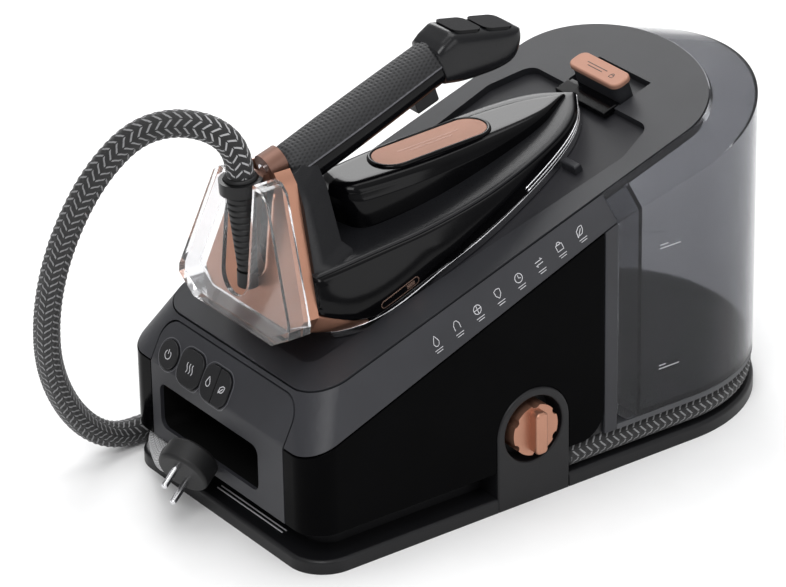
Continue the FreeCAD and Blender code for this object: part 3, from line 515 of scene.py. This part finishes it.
def lookup(table, at):
    """Values from a table sorted by its first column, smoothly between its rows."""
    k = 0
    while k < len(table) - 2 and table[k + 1][0] < at:
        k += 1
    f = (at - table[k][0]) / (table[k + 1][0] - table[k][0])
    f = min(1.0, max(0.0, f))
    slopes = []
    for i in (k, k + 1):
        a, b = table[max(i - 1, 0)], table[min(i + 1, len(table) - 1)]
        slopes.append([(y - x) / (b[0] - a[0]) for x, y in zip(a[1:], b[1:])])
    h = table[k + 1][0] - table[k][0]
    out = []
    for v0, v1, s0, s1 in zip(table[k][1:], table[k + 1][1:], *slopes):
        out.append((2 * f ** 3 - 3 * f * f + 1) * v0 + (f ** 3 - 2 * f * f + f) * h * s0
                   + (3 * f * f - 2 * f ** 3) * v1 + (f ** 3 - f * f) * h * s1)
    return out


def straight(table, at):
    """The same with straight runs between the rows."""
    for (x0, y0), (x1, y1) in zip(table, table[1:]):
        if at <= x1:
            return y0 + (y1 - y0) * max(0.0, at - x0) / (x1 - x0)
    return table[-1][1]


def deck_w(u):
    """The height of the deck's line at u."""
    return lookup(DECK_LINE, u)[0]


def crown_w(u):
    """The height of the saddle's crown at u."""
    return CROWN_W - (u - CROWN_U) * math.tan(CROWN_ANGLE)


def hull_point(t, w, inset=0.0):
    """A point (x, u) of the hull's outline at height w; t runs from the rear corner to the nose."""
    drawn, nose, rear = lookup(HULL_ROWS, w)
    drawn += inset
    rear_u = SOLE_REAR_U + drawn + rear
    tip = NOSE - 1.6 * drawn - nose
    span = (tip - rear_u) / (NOSE - SOLE_REAR_U)
    points = [(SOLE_REAR_HALF - 0.8 * drawn, rear_u)]
    points += [(half - drawn, rear_u + (u - SOLE_REAR_U) * span) for u, half in SOLE_HALF]
    return spline_at(points + [(0, tip)], t)


def crossing(outline, height_of, t, low, high):
    """Two close heights between which column t of an outline meets a line, a height for each u."""
    for _ in range(HALVINGS):
        middle = (low + high) / 2
        if middle < height_of(outline(t, middle).y):
            low = middle
        else:
            high = middle
    return low, high


def both_halves(right):
    """A ring from its right half, whose last point lies on the middle line."""
    return right + [(-x, u, w) for x, u, w in reversed(right[:-1])]


def capped(rings):
    """Faces of a closed solid through rings that were made by both_halves, with ladders for its ends."""
    count = len(rings[0])
    faces = ring_faces(len(rings), count)
    half = count // 2
    last = (len(rings) - 1) * count
    for base, flip in ((0, False), (last, True)):
        for k in range(half):
            a, b = base + k, base + k + 1
            c, d = base + count - 2 - k, base + count - 1 - k
            face = (a, b, c, d) if b != c else (a, b, d)
            faces.append(face[::-1] if flip else face)
    return faces


def trim_behind(obj):
    """Cuts off what lies behind the front of the heel's leaning frame and closes the cut."""
    bm = bmesh.new()
    bm.from_mesh(obj.data)
    everything = bm.verts[:] + bm.edges[:] + bm.faces[:]
    frame_front = HEEL_Y + FRAME_THICK + 0.1
    cut = bmesh.ops.bisect_plane(bm, geom=everything, plane_co=Vector((0, frame_front, HEEL_Z)) * MM,
                                 plane_no=Vector((0, -1, HEEL_LEAN)), clear_outer=True)
    edges = [g for g in cut["geom_cut"] if isinstance(g, bmesh.types.BMEdge)]
    bmesh.ops.contextual_create(bm, geom=edges)
    bmesh.ops.recalc_face_normals(bm, faces=bm.faces)
    bm.to_mesh(obj.data)
    bm.free()
    return obj


def make_hull():
    """The glossy hull between its lower line and the deck's, and the deck plate that lies on it."""
    spans, per_span, rows = 7, 6, 14
    columns = []
    for k in range(spans * per_span + 1):
        t = k / per_span
        top = sum(crossing(hull_point, deck_w, t, 1.0, 64.0)) / 2
        low = sum(crossing(hull_point, lambda u: straight(TAIL_LINE, u), t, 0.99, 64.0)) / 2
        columns.append((t, min(low, top - 0.4), top))
    rings = []
    for k in range(rows + 1):
        ring = []
        for t, low, top in columns:
            w = low + (top - low) * k / rows
            at = hull_point(t, w)
            ring.append((at.x, at.y, w))
        rings.append(both_halves(ring))
    verts = [slope(*p) for ring in rings for p in ring]
    hull = piece("hull", verts, capped(rings), "iron", GLOSS, replaces=("skirt",))
    trim_behind(outward(hull))
    edge, raised = 0.9, DECK_THICK
    rings = []
    for inset, lift in ((1.2, -0.1), (edge, 0.2), (edge, raised - edge), (1.4 * edge, raised - 0.25),
                        (2 * edge, raised), (4.0, raised + 0.25), (9.0, raised + 0.3)):
        ring = []
        for t, low, top in columns:
            at = hull_point(t, top, inset)
            ring.append((max(at.x, 0), at.y, deck_w(at.y) + lift))
        rings.append(both_halves(ring))
    verts = [slope(*p) for ring in rings for p in ring]
    deck = piece("deck_plate", verts, capped(rings), "iron", DECK_SATIN,
                 replaces=("deck",))
    trim_behind(outward(deck))


def saddle_point(t, w):
    """A point (x, u) of the saddle's outline at height w; t runs from its rear to its nose."""
    half, rear, nose = lookup(SADDLE_ROWS, w)
    points = [(0, rear), (half * 0.75, rear + 5), (half, rear + 22), (half, rear + 80),
              (half * 0.62, rear + 0.8 * (nose - rear)), (0, nose)]
    return spline_at(points, t)


def make_saddle():
    """The crowned housing: straight sides, a rounded shoulder and a flat top drawn in to a spine."""
    shoulder, spine_rear, spine_front = 9.0, -82.0, 48.0
    side_rows, shoulder_rows, top_rows = 8, 10, 6
    columns = []
    for k in range(51):
        t = k / 10
        low = crossing(saddle_point, crown_w, t, 0.0, SADDLE_ROWS[-1][0])[0]
        at = saddle_point(t, low)
        columns.append((t, max(low, deck_w(at.y) + DECK_THICK + 0.4)))
    verts = []
    for k in range(side_rows + shoulder_rows + top_rows + 1):
        ring = []
        for t, top in columns:
            bottom = deck_w(saddle_point(t, 20).y) + 1.0
            size = min(shoulder, max(0.3, (top - bottom) * 0.45))
            if k <= side_rows:
                w = bottom + (top - size - bottom) * k / side_rows
                at = saddle_point(t, w)
                ring.append((at.x, at.y, w))
                continue
            at = saddle_point(t, top)
            spine = Vector((0, min(max(at.y, spine_rear), spine_front)))
            turn = min(1.0, (k - side_rows) / shoulder_rows) * math.pi / 2
            inward = size * (1 - math.cos(turn)) / max((at - spine).length, 0.01)
            past_shoulder = max(0, k - side_rows - shoulder_rows)
            inward = min(1.0, inward + (1 - inward) * past_shoulder / top_rows)
            moved = spine + (at - spine) * (1 - inward)
            w = crown_w(moved.y) - size * (1 - math.sin(turn))
            ring.append((max(moved.x, 0.0), moved.y, max(w, bottom)))
        verts += [slope(*p) for p in ring] + [slope(-x, u, w) for x, u, w in reversed(ring[1:-1])]
    count = len(columns)
    around = 2 * count - 2
    faces = ring_faces(len(verts) // around, around)
    for k in range(count - 1):
        corners = (k, k + 1, (around - k - 1) % around, (around - k) % around)
        faces.append(tuple(dict.fromkeys(corners)))
    faces = [f for f in faces if len(f) > 2]
    saddle = piece("saddle_shell", verts, faces, "iron", GLOSS, replaces=("saddle",))
    bm = bmesh.new()
    bm.from_mesh(saddle.data)
    bmesh.ops.remove_doubles(bm, verts=bm.verts, dist=0.00002)
    bmesh.ops.recalc_face_normals(bm, faces=bm.faces)
    bm.to_mesh(saddle.data)
    bm.free()


def dimple(across, along):
    """How deep the grip is pressed in, in millimetres, at two shares of its width and its length."""
    row = along * DIMPLES_ALONG
    dx = (across * DIMPLES_ACROSS + 0.5 * math.floor(row)) % 1 - 0.5
    floor, slant, deepest = 0.16, 0.2, 0.4
    near = 1 - (math.hypot(dx, row % 1 - 0.5) - floor) / slant
    return deepest * min(1.0, max(0.0, near))


def handle_ring(u, centre, half, up, down, first, last, count, depth, along=None):
    """A closed strip of the handle's cross-section between two angles, with the given thickness."""
    outer, inner, squareness = [], [], 0.86
    for k in range(count + 1):
        turn = math.radians(first + (last - first) * k / count)
        c, s = math.cos(turn), math.sin(turn)
        tall = up if s > 0 else down
        x = half * math.copysign(abs(c) ** squareness, c)
        w = tall * math.copysign(abs(s) ** squareness, s)
        length = math.hypot(x, w)
        pressed = dimple(k / count, along) / length if along is not None else 0.0
        outer.append((x * (1 - pressed), u, centre + w * (1 - pressed)))
        inner.append((x * (1 - depth / length), u, centre + w * (1 - depth / length)))
    return outer + inner[::-1]


def cut_window(faces, around, rows, columns):
    """Leaves a rectangular hole through a strip made of handle_ring, with walls round it."""
    (k0, k1), (i0, i1) = rows, columns
    gone = set()
    for k in range(k0, k1):
        for i in range(i0, i1):
            gone |= {k * around + i, k * around + around - 2 - i}
    kept = [f for n, f in enumerate(faces) if n not in gone]

    def both(k, i):
        return k * around + i, k * around + around - 1 - i

    for k in (k0, k1):
        for i in range(i0, i1):
            (a, a_in), (b, b_in) = both(k, i), both(k, i + 1)
            kept.append((a, b, b_in, a_in))
    for i in (i0, i1):
        for k in range(k0, k1):
            (a, a_in), (b, b_in) = both(k, i), both(k + 1, i)
            kept.append((a, b, b_in, a_in))
    return kept


GRIP_REAR, GRIP_LONG = -134.0, 138.0
# the bar inside the handle rises from one height to another between two places along the slope
BAR_REAR, BAR_LONG, BAR_LOW, BAR_RISE = -140.0, 146.0, 98.5, 4.5
TRIGGER_ROWS, TRIGGER_COLUMNS = (36, 44), (13, 23)


def make_handle():
    """A rubber back with dimples, a fine light line under it and a glossy lower half."""
    for name, first, last, grow, depth, material, slot, swap in (
            ("grip_back", 14, 166, 0.0, 4.0, GRIP, "grip_rubber", ("soft_grip",)),
            ("grip_line_right", 10, 14, -0.1, 3.0, TRIM, "grey_satin", ()),
            ("grip_line_left", 166, 170, -0.1, 3.0, TRIM, "grey_satin", ()),
            ("grip_belly", 170, 370, -0.6, 4.0, GLOSS, "gloss_black", ())):
        dimpled_part = name == "grip_back"
        count = 105 if dimpled_part else 36 if last - first > 20 else 3
        runs = 264 if dimpled_part else 48
        rings = []
        for k in range(runs + 1):
            share = k / runs
            u = GRIP_REAR + GRIP_LONG * share
            ends = min(1.0, share * 16, (1 - share) * 16)
            swell = 1 - 0.1 * (1 - math.sin(ends * math.pi / 2))
            middle = BAR_LOW + BAR_RISE * (u - BAR_REAR) / BAR_LONG
            half = (16.6 + 0.6 * math.cos((share - 0.45) * 5)) * swell + grow
            up, down = 17.2 * swell + grow, (16.8 - 2.4 * share) * swell + grow
            rings.append(handle_ring(u, middle, half, up, down, first, last, count, depth,
                                     share if dimpled_part else None))
        around = len(rings[0])
        verts = [slope(*p) for ring in rings for p in ring]
        faces = ring_faces(len(rings), around)
        for base in (0, runs * around):
            for k in range(count):
                faces.append((base + k, base + k + 1, base + around - 2 - k, base + around - 1 - k))
        if name == "grip_belly":
            faces = cut_window(faces, around, TRIGGER_ROWS, TRIGGER_COLUMNS)
        uvs = []
        for f in faces:
            for v in f:
                place = v % around
                place = place if place <= count else around - 1 - place
                uvs.append((place / count, (v // around) / runs))
        made = piece(name, verts, faces, "iron", material, uvs=uvs, replaces=swap)
        outward(made)


def make_boot():
    """The rubber sleeve of the hose: ribbed, wider upward."""
    low, high = Vector((0, -191, 182)) * MM, Vector((0, -195, 252.7)) * MM
    steps, ribs = 220, 15
    points = [low.lerp(high, k / steps) for k in range(steps + 1)]

    def ribbed(share, turn, run):
        wide = 7.4 + 4.4 * share
        in_groove = 0.0 < (share * ribs) % 1 < 0.3 and 0.05 < share < 0.82
        groove = 1.3 if in_groove else 0.0
        rounding = 0.8 * max(0.0, 1 - min(share, 1 - share) / 0.02)
        return (wide - groove - rounding) * MM

    boot = tube("ribbed_boot", points, ribbed, "boot", RUBBER, 40, ("hose_boot",))
    outward(boot)


def arc(x, y, r, first, last, count=20):
    """Points on an arc, from one angle to another in degrees."""
    return [(x + r * math.cos(math.radians(first + (last - first) * k / count)),
             y + r * math.sin(math.radians(first + (last - first) * k / count))) for k in range(count + 1)]


def capsule(long, tall, count=10):
    """A closed line with round ends, long along the first direction."""
    reach, radius = (long - tall) / 2, tall / 2
    ends = arc(reach, 0, radius, -90, 90, count) + arc(-reach, 0, radius, 90, 270, count)
    return ends + ends[:1]


def make_badge_rim():
    """The black lip round the copper badge on the saddle's crown."""
    badge_long, badge_wide, clear, radius = 92, 28, 3.2, 1.7
    points = []
    for a, x in capsule(badge_long + clear, badge_wide + clear, 16):
        u = BADGE_U + a * math.cos(CROWN_ANGLE)
        w = crown_w(BADGE_U) - a * math.sin(CROWN_ANGLE)
        points.append(slope(x, u, w + 0.3))
    tube("badge_rim", points, radius * MM, "iron", GLOSS, 10)


def make_heel_trim():
    """The raised lip of the U-shaped channel in the copper frame."""
    half, low, step, bend = 13.9, 176.0, 4, 16
    line = [(half, z) for z in range(240, 190, -step)]
    for k in range(bend + 1):
        turn = math.pi * k / bend
        line.append((half * math.cos(turn), low + half - half * math.sin(turn)))
    line += [(-half, z) for z in range(192, 242, step)]
    points = [Vector((x, HEEL_Y - 0.1 + HEEL_LEAN * (z - HEEL_Z), z)) * MM for x, z in line]
    tube("channel_lip", points, 0.9 * MM, "iron", COPPER_LIGHT, 10)


def make_head():
    """The control head: a rounded snout with a flat slanted top for its two keys."""
    top = [(-4, 119), (2, 121.6), (12.5, 124), (62, 96.0), (64.4, 93.5)]
    bottom = [(-4, 89), (10, 82), (22, 78), (40, 73.5), (52, 74), (60, 82), (64.4, 91)]
    half_at = [(-4, 16.5), (6, 17.4), (40, 17.4), (56, 16.2), (62, 14), (64.4, 11.5)]
    rings, around, runs = [], 44, 40
    rear, front = top[0][0], top[-1][0]
    for k in range(runs + 1):
        u = rear + (front - rear) * k / runs
        high, low, half = straight(top, u), lookup(bottom, u)[0], lookup(half_at, u)[0]
        middle, tall = (high + low) / 2, (high - low) / 2
        ring = []
        for i in range(around):
            c, s = math.cos(TAU * i / around), math.sin(TAU * i / around)
            power = 0.42 if s > 0 else 0.62
            ring.append(slope(half * math.copysign(abs(c) ** power, c), u,
                              middle + tall * math.copysign(abs(s) ** power, s)))
        rings.append(ring)
    verts = [v for ring in rings for v in ring]
    last = runs * around
    faces = ring_faces(len(rings), around)
    faces += [tuple(range(around - 1, -1, -1)), tuple(last + i for i in range(around))]
    head = piece("head_shell", verts, faces, "iron", IRON_SATIN,
                 replaces=("control_head",))
    outward(head)


def make_sole_trim():
    """Two polished lines round the hull's foot toward the nose."""
    start, end, steps = 4.2, 7.0, 40
    for name, w, radius in (("sole_trim_low", 3.2, 0.75), ("sole_trim_high", 6.6, 0.6)):
        right = [hull_point(start + (end - start) * k / steps, w, -0.1) for k in range(steps + 1)]
        line = [slope(p.x, p.y, w) for p in right] + [slope(-p.x, p.y, w) for p in reversed(right[:-1])]
        tube(name, line, radius * MM, "iron", CHROME, 10)


def make_base_strips():
    """Two fine light lines on the base's top at the front: thin strips there, painted light grey as their
    highlight.
    """
    # painted highlight: light grey tubes where the strip on the base shows a bright reflection
    for name, y in (("base_strip_highlight_front", -210.5), ("base_strip_highlight_rear", -207.0)):
        left, right, z, steps = -19, 60, 10.6, 12
        points = [Vector((left + (right - left) * k / steps, y, z)) * MM for k in range(steps + 1)]
        tube(name, points, 0.55 * MM, "station", MARK, 8)


make_hull()
make_saddle()
make_head()
make_sole_trim()
make_handle()
make_boot()
make_badge_rim()
make_heel_trim()
make_base_strips()

# ---------------------------------------------------------------- carried-over CAD nodes
# the CAD nodes that no piece above replaces
FINISH = {
    "bevel_band": SHELL, "top_cover": COVER, "front_panel": SHELL, "rear_frame": SHELL, "lock_slider": COVER,
    "side_panel_left": PANEL_GLOSS, "side_panel_right": PANEL_GLOSS,
    "lock_tongue": GLOSS, "base_plate": BASE_BLACK, "valve_bracket": BASE_BLACK, "tank_sill": SILL_GREY,
    "lead_gland": BASE_BLACK, "hose_outlet": BASE_BLACK, "inner_frame": BASE_BLACK, "cord_bay": BAY_BLACK,
    "rest_mat": MAT_DARK, "iron_stop": COVER, "power_button": BUTTON, "boost_button": BUTTON,
    "rinse_button": BUTTON, "eco_button": BUTTON, "steam_shot_button": GLOSS, "mode_select_button": GLOSS,
    "steam_trigger": BUTTON, "valve_knob": COPPER, "badge": COPPER_SOFT, "lock_cap": COPPER_SOFT,
    "heel_frame": COPPER, "water_tank": TANK, "heel_rest": CLEAR,
    "rear_column": DECK_SATIN, "handle_core": IRON_SATIN,
    "hose_inlet": RUBBER, "foot_pads": RUBBER, "valve_seal": RUBBER,
    "hose_collar": COLLAR, "plug_body": RUBBER, "plug_pins": CHROME, "collar_screw": CHROME,
    "soleplate": STEEL, "steam_chamber": CHROME, "boiler": STEEL, "heating_element": STEEL,
    "thermostat": STEEL, "valve_seat": BRASS, "tank_port": BRASS, "steam_valve": BRASS,
    "water_pump": INSIDE, "tank_valve": INSIDE, "power_board": BOARD, "button_board": BOARD,
}
SOFT_EDGES = {
    "bevel_band": 1.2, "top_cover": 0.6, "front_panel": 0.9, "rear_frame": 0.6, "side_panel_left": 0.8,
    "side_panel_right": 0.8, "base_plate": 0.6, "valve_bracket": 0.5, "rear_column": 2.2,
    "heel_frame": 1.6, "heel_rest": 1.4, "water_tank": 1.0, "plug_body": 0.8,
    "valve_knob": 0.6, "soleplate": 0.5, "lock_tongue": 0.4, "hose_collar": 0.8, "steam_trigger": 0.6,
}
for name, obj in NODES.items():
    if obj.hide_render:
        continue
    obj.data.materials.clear()
    obj.data.materials.append(FINISH[name])
    if name in SOFT_EDGES:
        soften(obj, SOFT_EDGES[name])


# ---------------------------------------------------------------- printed marks
ACROSS = Vector((1, 0, 0))
# signs drawn in millimetres, as lists of strokes
POWER = [arc(0, 0, 3.2, -235, 55), [(0, 0.6), (0, 4.0)]]
STEAM = [[(x + 0.7 * math.sin(k / 2), -3 + k * 0.5) for k in range(13)] for x in (-2.6, 0, 2.6)]
DROP = [[(0, 3.8), (-1.5, 1.0), (-2.3, -1.0), (-1.4, -2.9), (0, -3.5), (1.4, -2.9), (2.3, -1.0), (1.5, 1.0),
         (0, 3.8)]]
LEAF = [[(-3, -3), (-2.4, 1), (0.4, 3), (3, 3), (2.6, 0), (1, -2.2), (-1.6, -2.6)], [(-3, -3.4), (1.4, 1.4)]]
PADLOCK = [[(-1.7, 0.2), (-1.7, -2.4), (1.7, -2.4), (1.7, 0.2), (-1.7, 0.2)], arc(0, 0.4, 1.2, 0, 180)]
SHIELD = [[(-2.4, 2.6), (0, 3.4), (2.4, 2.6), (2.2, -0.6), (0, -3.2), (-2.2, -0.6), (-2.4, 2.6)]]
CLOCK = [arc(0, 0, 3.0, 0, 360), [(0, 2), (0, 0), (1.6, -0.6)]]
ARROWS = [[(-3, 1), (3, 1), (1.6, 2.4)], [(3, -1.2), (-3, -1.2), (-1.6, -2.6)]]
BOX_MARK = [[(-2.6, -2.6), (2.6, -2.6), (2.6, 1.6), (-2.6, 1.6), (-2.6, -2.6)], arc(0, 1.8, 1.5, 0, 180)]
HAND = [[(-2.4, -2.8), (-2.4, 0.6), (-1.2, 2.6), (0, 3.2), (1.2, 2.6), (2.4, 0.6), (2.4, -2.8)]]
FAN = [arc(0, 0, 3.0, 0, 360), [(-2.6, 0), (2.6, 0)], [(0, -2.6), (0, 2.6)]]


def surface_of(obj):
    """An object's faces, ready for rays."""
    return BVHTree.FromObject(obj, bpy.context.evaluated_depsgraph_get())


def mark(name, strokes, centre, right, up, surface, body, width, material, scale=1.0):
    """Prints strokes, drawn in millimetres, on a surface: thin strips that follow it."""
    high, deep, step = 0.12, 0.15, 1.5
    right, up = right.normalized(), up.normalized()
    out = right.cross(up).normalized()
    verts, faces = [], []

    def landed(x, y):
        start = centre + (right * x + up * y + out * 25) * MM
        hit = surface.ray_cast(start, -out, 0.05)[0]
        return hit if hit is not None else centre + (right * x + up * y) * MM

    for stroke in strokes:
        line = []
        for (x0, y0), (x1, y1) in zip(stroke, stroke[1:]):
            parts = max(1, round(math.hypot(x1 - x0, y1 - y0) * scale / step))
            line += [(x0 + (x1 - x0) * k / parts, y0 + (y1 - y0) * k / parts) for k in range(parts)]
        line = [(x * scale, y * scale) for x, y in line + [stroke[-1]]]
        first = len(verts)
        for i, (x, y) in enumerate(line):
            ax, ay = line[max(i - 1, 0)]
            bx, by = line[min(i + 1, len(line) - 1)]
            if stroke[0] == stroke[-1] and i in (0, len(line) - 1):
                (ax, ay), (bx, by) = line[-2], line[1]
            length = math.hypot(bx - ax, by - ay) or 1.0
            nx, ny = -(by - ay) / length * width / 2, (bx - ax) / length * width / 2
            for side, lift in ((1, high), (-1, high), (-1, -deep), (1, -deep)):
                verts.append(landed(x + nx * side, y + ny * side) + out * lift * MM)
        for i in range(len(line) - 1):
            a, b = first + 4 * i, first + 4 * i + 4
            faces += [(a + k, a + (k + 1) % 4, b + (k + 1) % 4, b + k) for k in range(4)]
        last = first + 4 * (len(line) - 1)
        faces += [(first + 3, first + 2, first + 1, first), (last, last + 1, last + 2, last + 3)]
    outward(piece(name, verts, faces, body, material, smooth=False))


def front_marks():
    """Signs on the four front keys, and outlines round the three wells."""
    button_up = 11
    low = Vector((0, -222, 176 + 0.395 * -222))
    high = Vector((0, SLOPE_COS * -215.5, TOP_Z + SLOPE_SIN * -215.5))
    up = (high - low).normalized()
    for name, strokes, x, node_name, body, scale in (
            ("power_sign", POWER, -63, "power_button", "power_key", 1.0),
            ("steam_sign", STEAM, -36, "boost_button", "boost_key", 1.2),
            ("drop_sign", DROP, -13, "rinse_button", "rinse_key", 1.0),
            ("leaf_sign", LEAF, 3, "eco_button", "eco_key", 0.9)):
        centre = (low + ACROSS * x + up * button_up) * MM
        mark(name, strokes, centre, ACROSS, up, surface_of(NODES[node_name]), body, 0.6, MARK, scale)
    rings = []
    for x, half_x, half_y, r in ((-63, 12.2, 12.2, 12.1), (-36, 15.2, 14.6, 10.5), (-5, 17.2, 14.6, 10.5)):
        ring, side, rise = [], half_x - r, half_y - r
        for cx, cy, start in ((side, rise, 0), (-side, rise, 90), (-side, -rise, 180), (side, -rise, 270)):
            ring += arc(x + cx, button_up + cy, r, start, start + 90, 6)
        rings.append(ring + ring[:1])
    mark("button_rings", rings, low * MM, ACROSS, up, surface_of(NODES["front_panel"]), "station", 0.5, TRIM)


def band_marks():
    """The row of small signs on the right bevel, each with two short lines under it."""
    up = Vector((94, 0, 194)) - Vector((113, 0, 176))
    along_edge = Vector((0, 1, 0.36))
    surface = surface_of(NODES["bevel_band"])
    under = [[(-3.4, -5.6), (3.4, -5.6)], [(-2.6, -7.2), (2.6, -7.2)]]
    first_y, pitch = -111, 17.5
    for k, strokes in enumerate((DROP, HAND, FAN, SHIELD, CLOCK, ARROWS, BOX_MARK, LEAF)):
        y = first_y + pitch * k
        centre = Vector((103.5, y, 184.4 + 0.372 * y)) * MM
        mark("feature_sign_%d" % (k + 1), strokes, centre, along_edge, up, surface, "station", 0.5, MARK)
        mark("feature_line_%d" % (k + 1), under, centre, along_edge, up, surface, "station", 0.45, MARK)


def tank_marks():
    """The upper and lower level lines on the tank's right side."""
    surface = surface_of(NODES["water_tank"])
    right, up = Vector((0, 1, 0)), Vector((0, 0, 1))
    for name, z, short in (("level_max", 160, -2), ("level_min", 66, -3)):
        strokes = [[(-9, 0), (9, 0)], [(-9, 2.6), (short, 2.6)]]
        mark(name, strokes, Vector((113, 84, z)) * MM, right, up, surface, "tank", 0.6, MARK)


def lock_marks():
    """A padlock and two short lines on the lock's cap."""
    along = Vector((0, SLOPE_COS, SLOPE_SIN))
    surface = surface_of(NODES["lock_cap"])
    u, w = 121.0, 14.5
    lines = [[(-14, 1.2), (8, 1.2)], [(-11, -1.4), (5, -1.4)]]
    mark("padlock_sign", PADLOCK, slope(15, u, w), ACROSS, along, surface, "lock", 0.5, BUTTON)
    mark("lock_line", lines, slope(0, u, w), ACROSS, along, surface, "lock", 0.6, BUTTON)


def iron_marks():
    """A capsule on the hull's right side, and two lines on the badge."""
    along = Vector((0, SLOPE_COS, SLOPE_SIN))
    hull = surface_of(bpy.data.objects["hull"])
    up = Vector((-0.1, -SLOPE_SIN, SLOPE_COS))
    centre = slope(59, -115, 7.6)
    mark("side_capsule", [capsule(34, 5.6)], centre, along, up, hull, "iron", 0.7, COPPER_LIGHT)
    mark("side_capsule_core", [[(6, 0), (13, 0)]], centre, along, up, hull, "iron", 3.2, COPPER_LIGHT)
    crown = Vector((0, math.cos(SLOPE - CROWN_ANGLE), math.sin(SLOPE - CROWN_ANGLE)))
    lines = [[(-26, 1.6), (26, 1.6)], [(-18, -2.2), (18, -2.2)]]
    mark("badge_line", lines, slope(0, BADGE_U, crown_w(BADGE_U)), crown, -ACROSS,
         surface_of(NODES["badge"]), "iron", 0.9, COPPER_DARK)


front_marks()
band_marks()
tank_marks()
lock_marks()
iron_marks()

# ---------------------------------------------------------------- stage
def make_stage():
    """A wide pale floor, a sky that is lighter overhead, and four soft lights."""
    floor_material = plastic("floor_pale", (0.88, 0.88, 0.88), 0.7, 0.2, grain=60, depth=0.00001,
                             blotch=0.01)
    mesh = bpy.data.meshes.new("floor")
    mesh.from_pydata([(-9, -9, 0), (9, -9, 0), (9, 9, 0), (-9, 9, 0)], [], [(0, 1, 2, 3)])
    mesh.materials.append(floor_material)
    floor = bpy.data.objects.new("floor", mesh)
    bpy.context.scene.collection.objects.link(floor)
    world = bpy.data.worlds.new("studio")
    bpy.context.scene.world = world
    world.use_nodes = True
    tree = world.node_tree
    back = tree.nodes["Background"]
    where = tree.nodes.new("ShaderNodeTexCoord").outputs["Generated"]
    split = node(tree, "ShaderNodeSeparateXYZ", {"Vector": where})
    shades = [(0.0, (0.42, 0.42, 0.43)), (0.35, (0.5, 0.5, 0.51)), (1.0, (1, 1, 1))]
    sky = ramp(tree, split.outputs["Z"], shades)
    tree.links.new(sky, back.inputs["Color"])
    back.inputs["Strength"].default_value = 0.9
    for name, place, size, power in (
            ("key", (1.3, -1.5, 2.2), 1.3, 34), ("top", (-0.3, 0.4, 2.4), 1.8, 26),
            ("rim", (-1.8, 0.9, 1.3), 1.0, 16), ("fill", (2.4, 0.6, 1.0), 1.2, 8)):
        data = bpy.data.lights.new(name, "AREA")
        data.size = size
        data.energy = power
        light = bpy.data.objects.new(name, data)
        bpy.context.scene.collection.objects.link(light)
        light.location = place
        aim = Vector((0, -0.05, 0.12)) - Vector(place)
        light.rotation_mode = "QUATERNION"
        light.rotation_quaternion = aim.to_track_quat("-Z", "Y")
    view = bpy.context.scene.view_settings
    view.view_transform = "Standard"


make_stage()
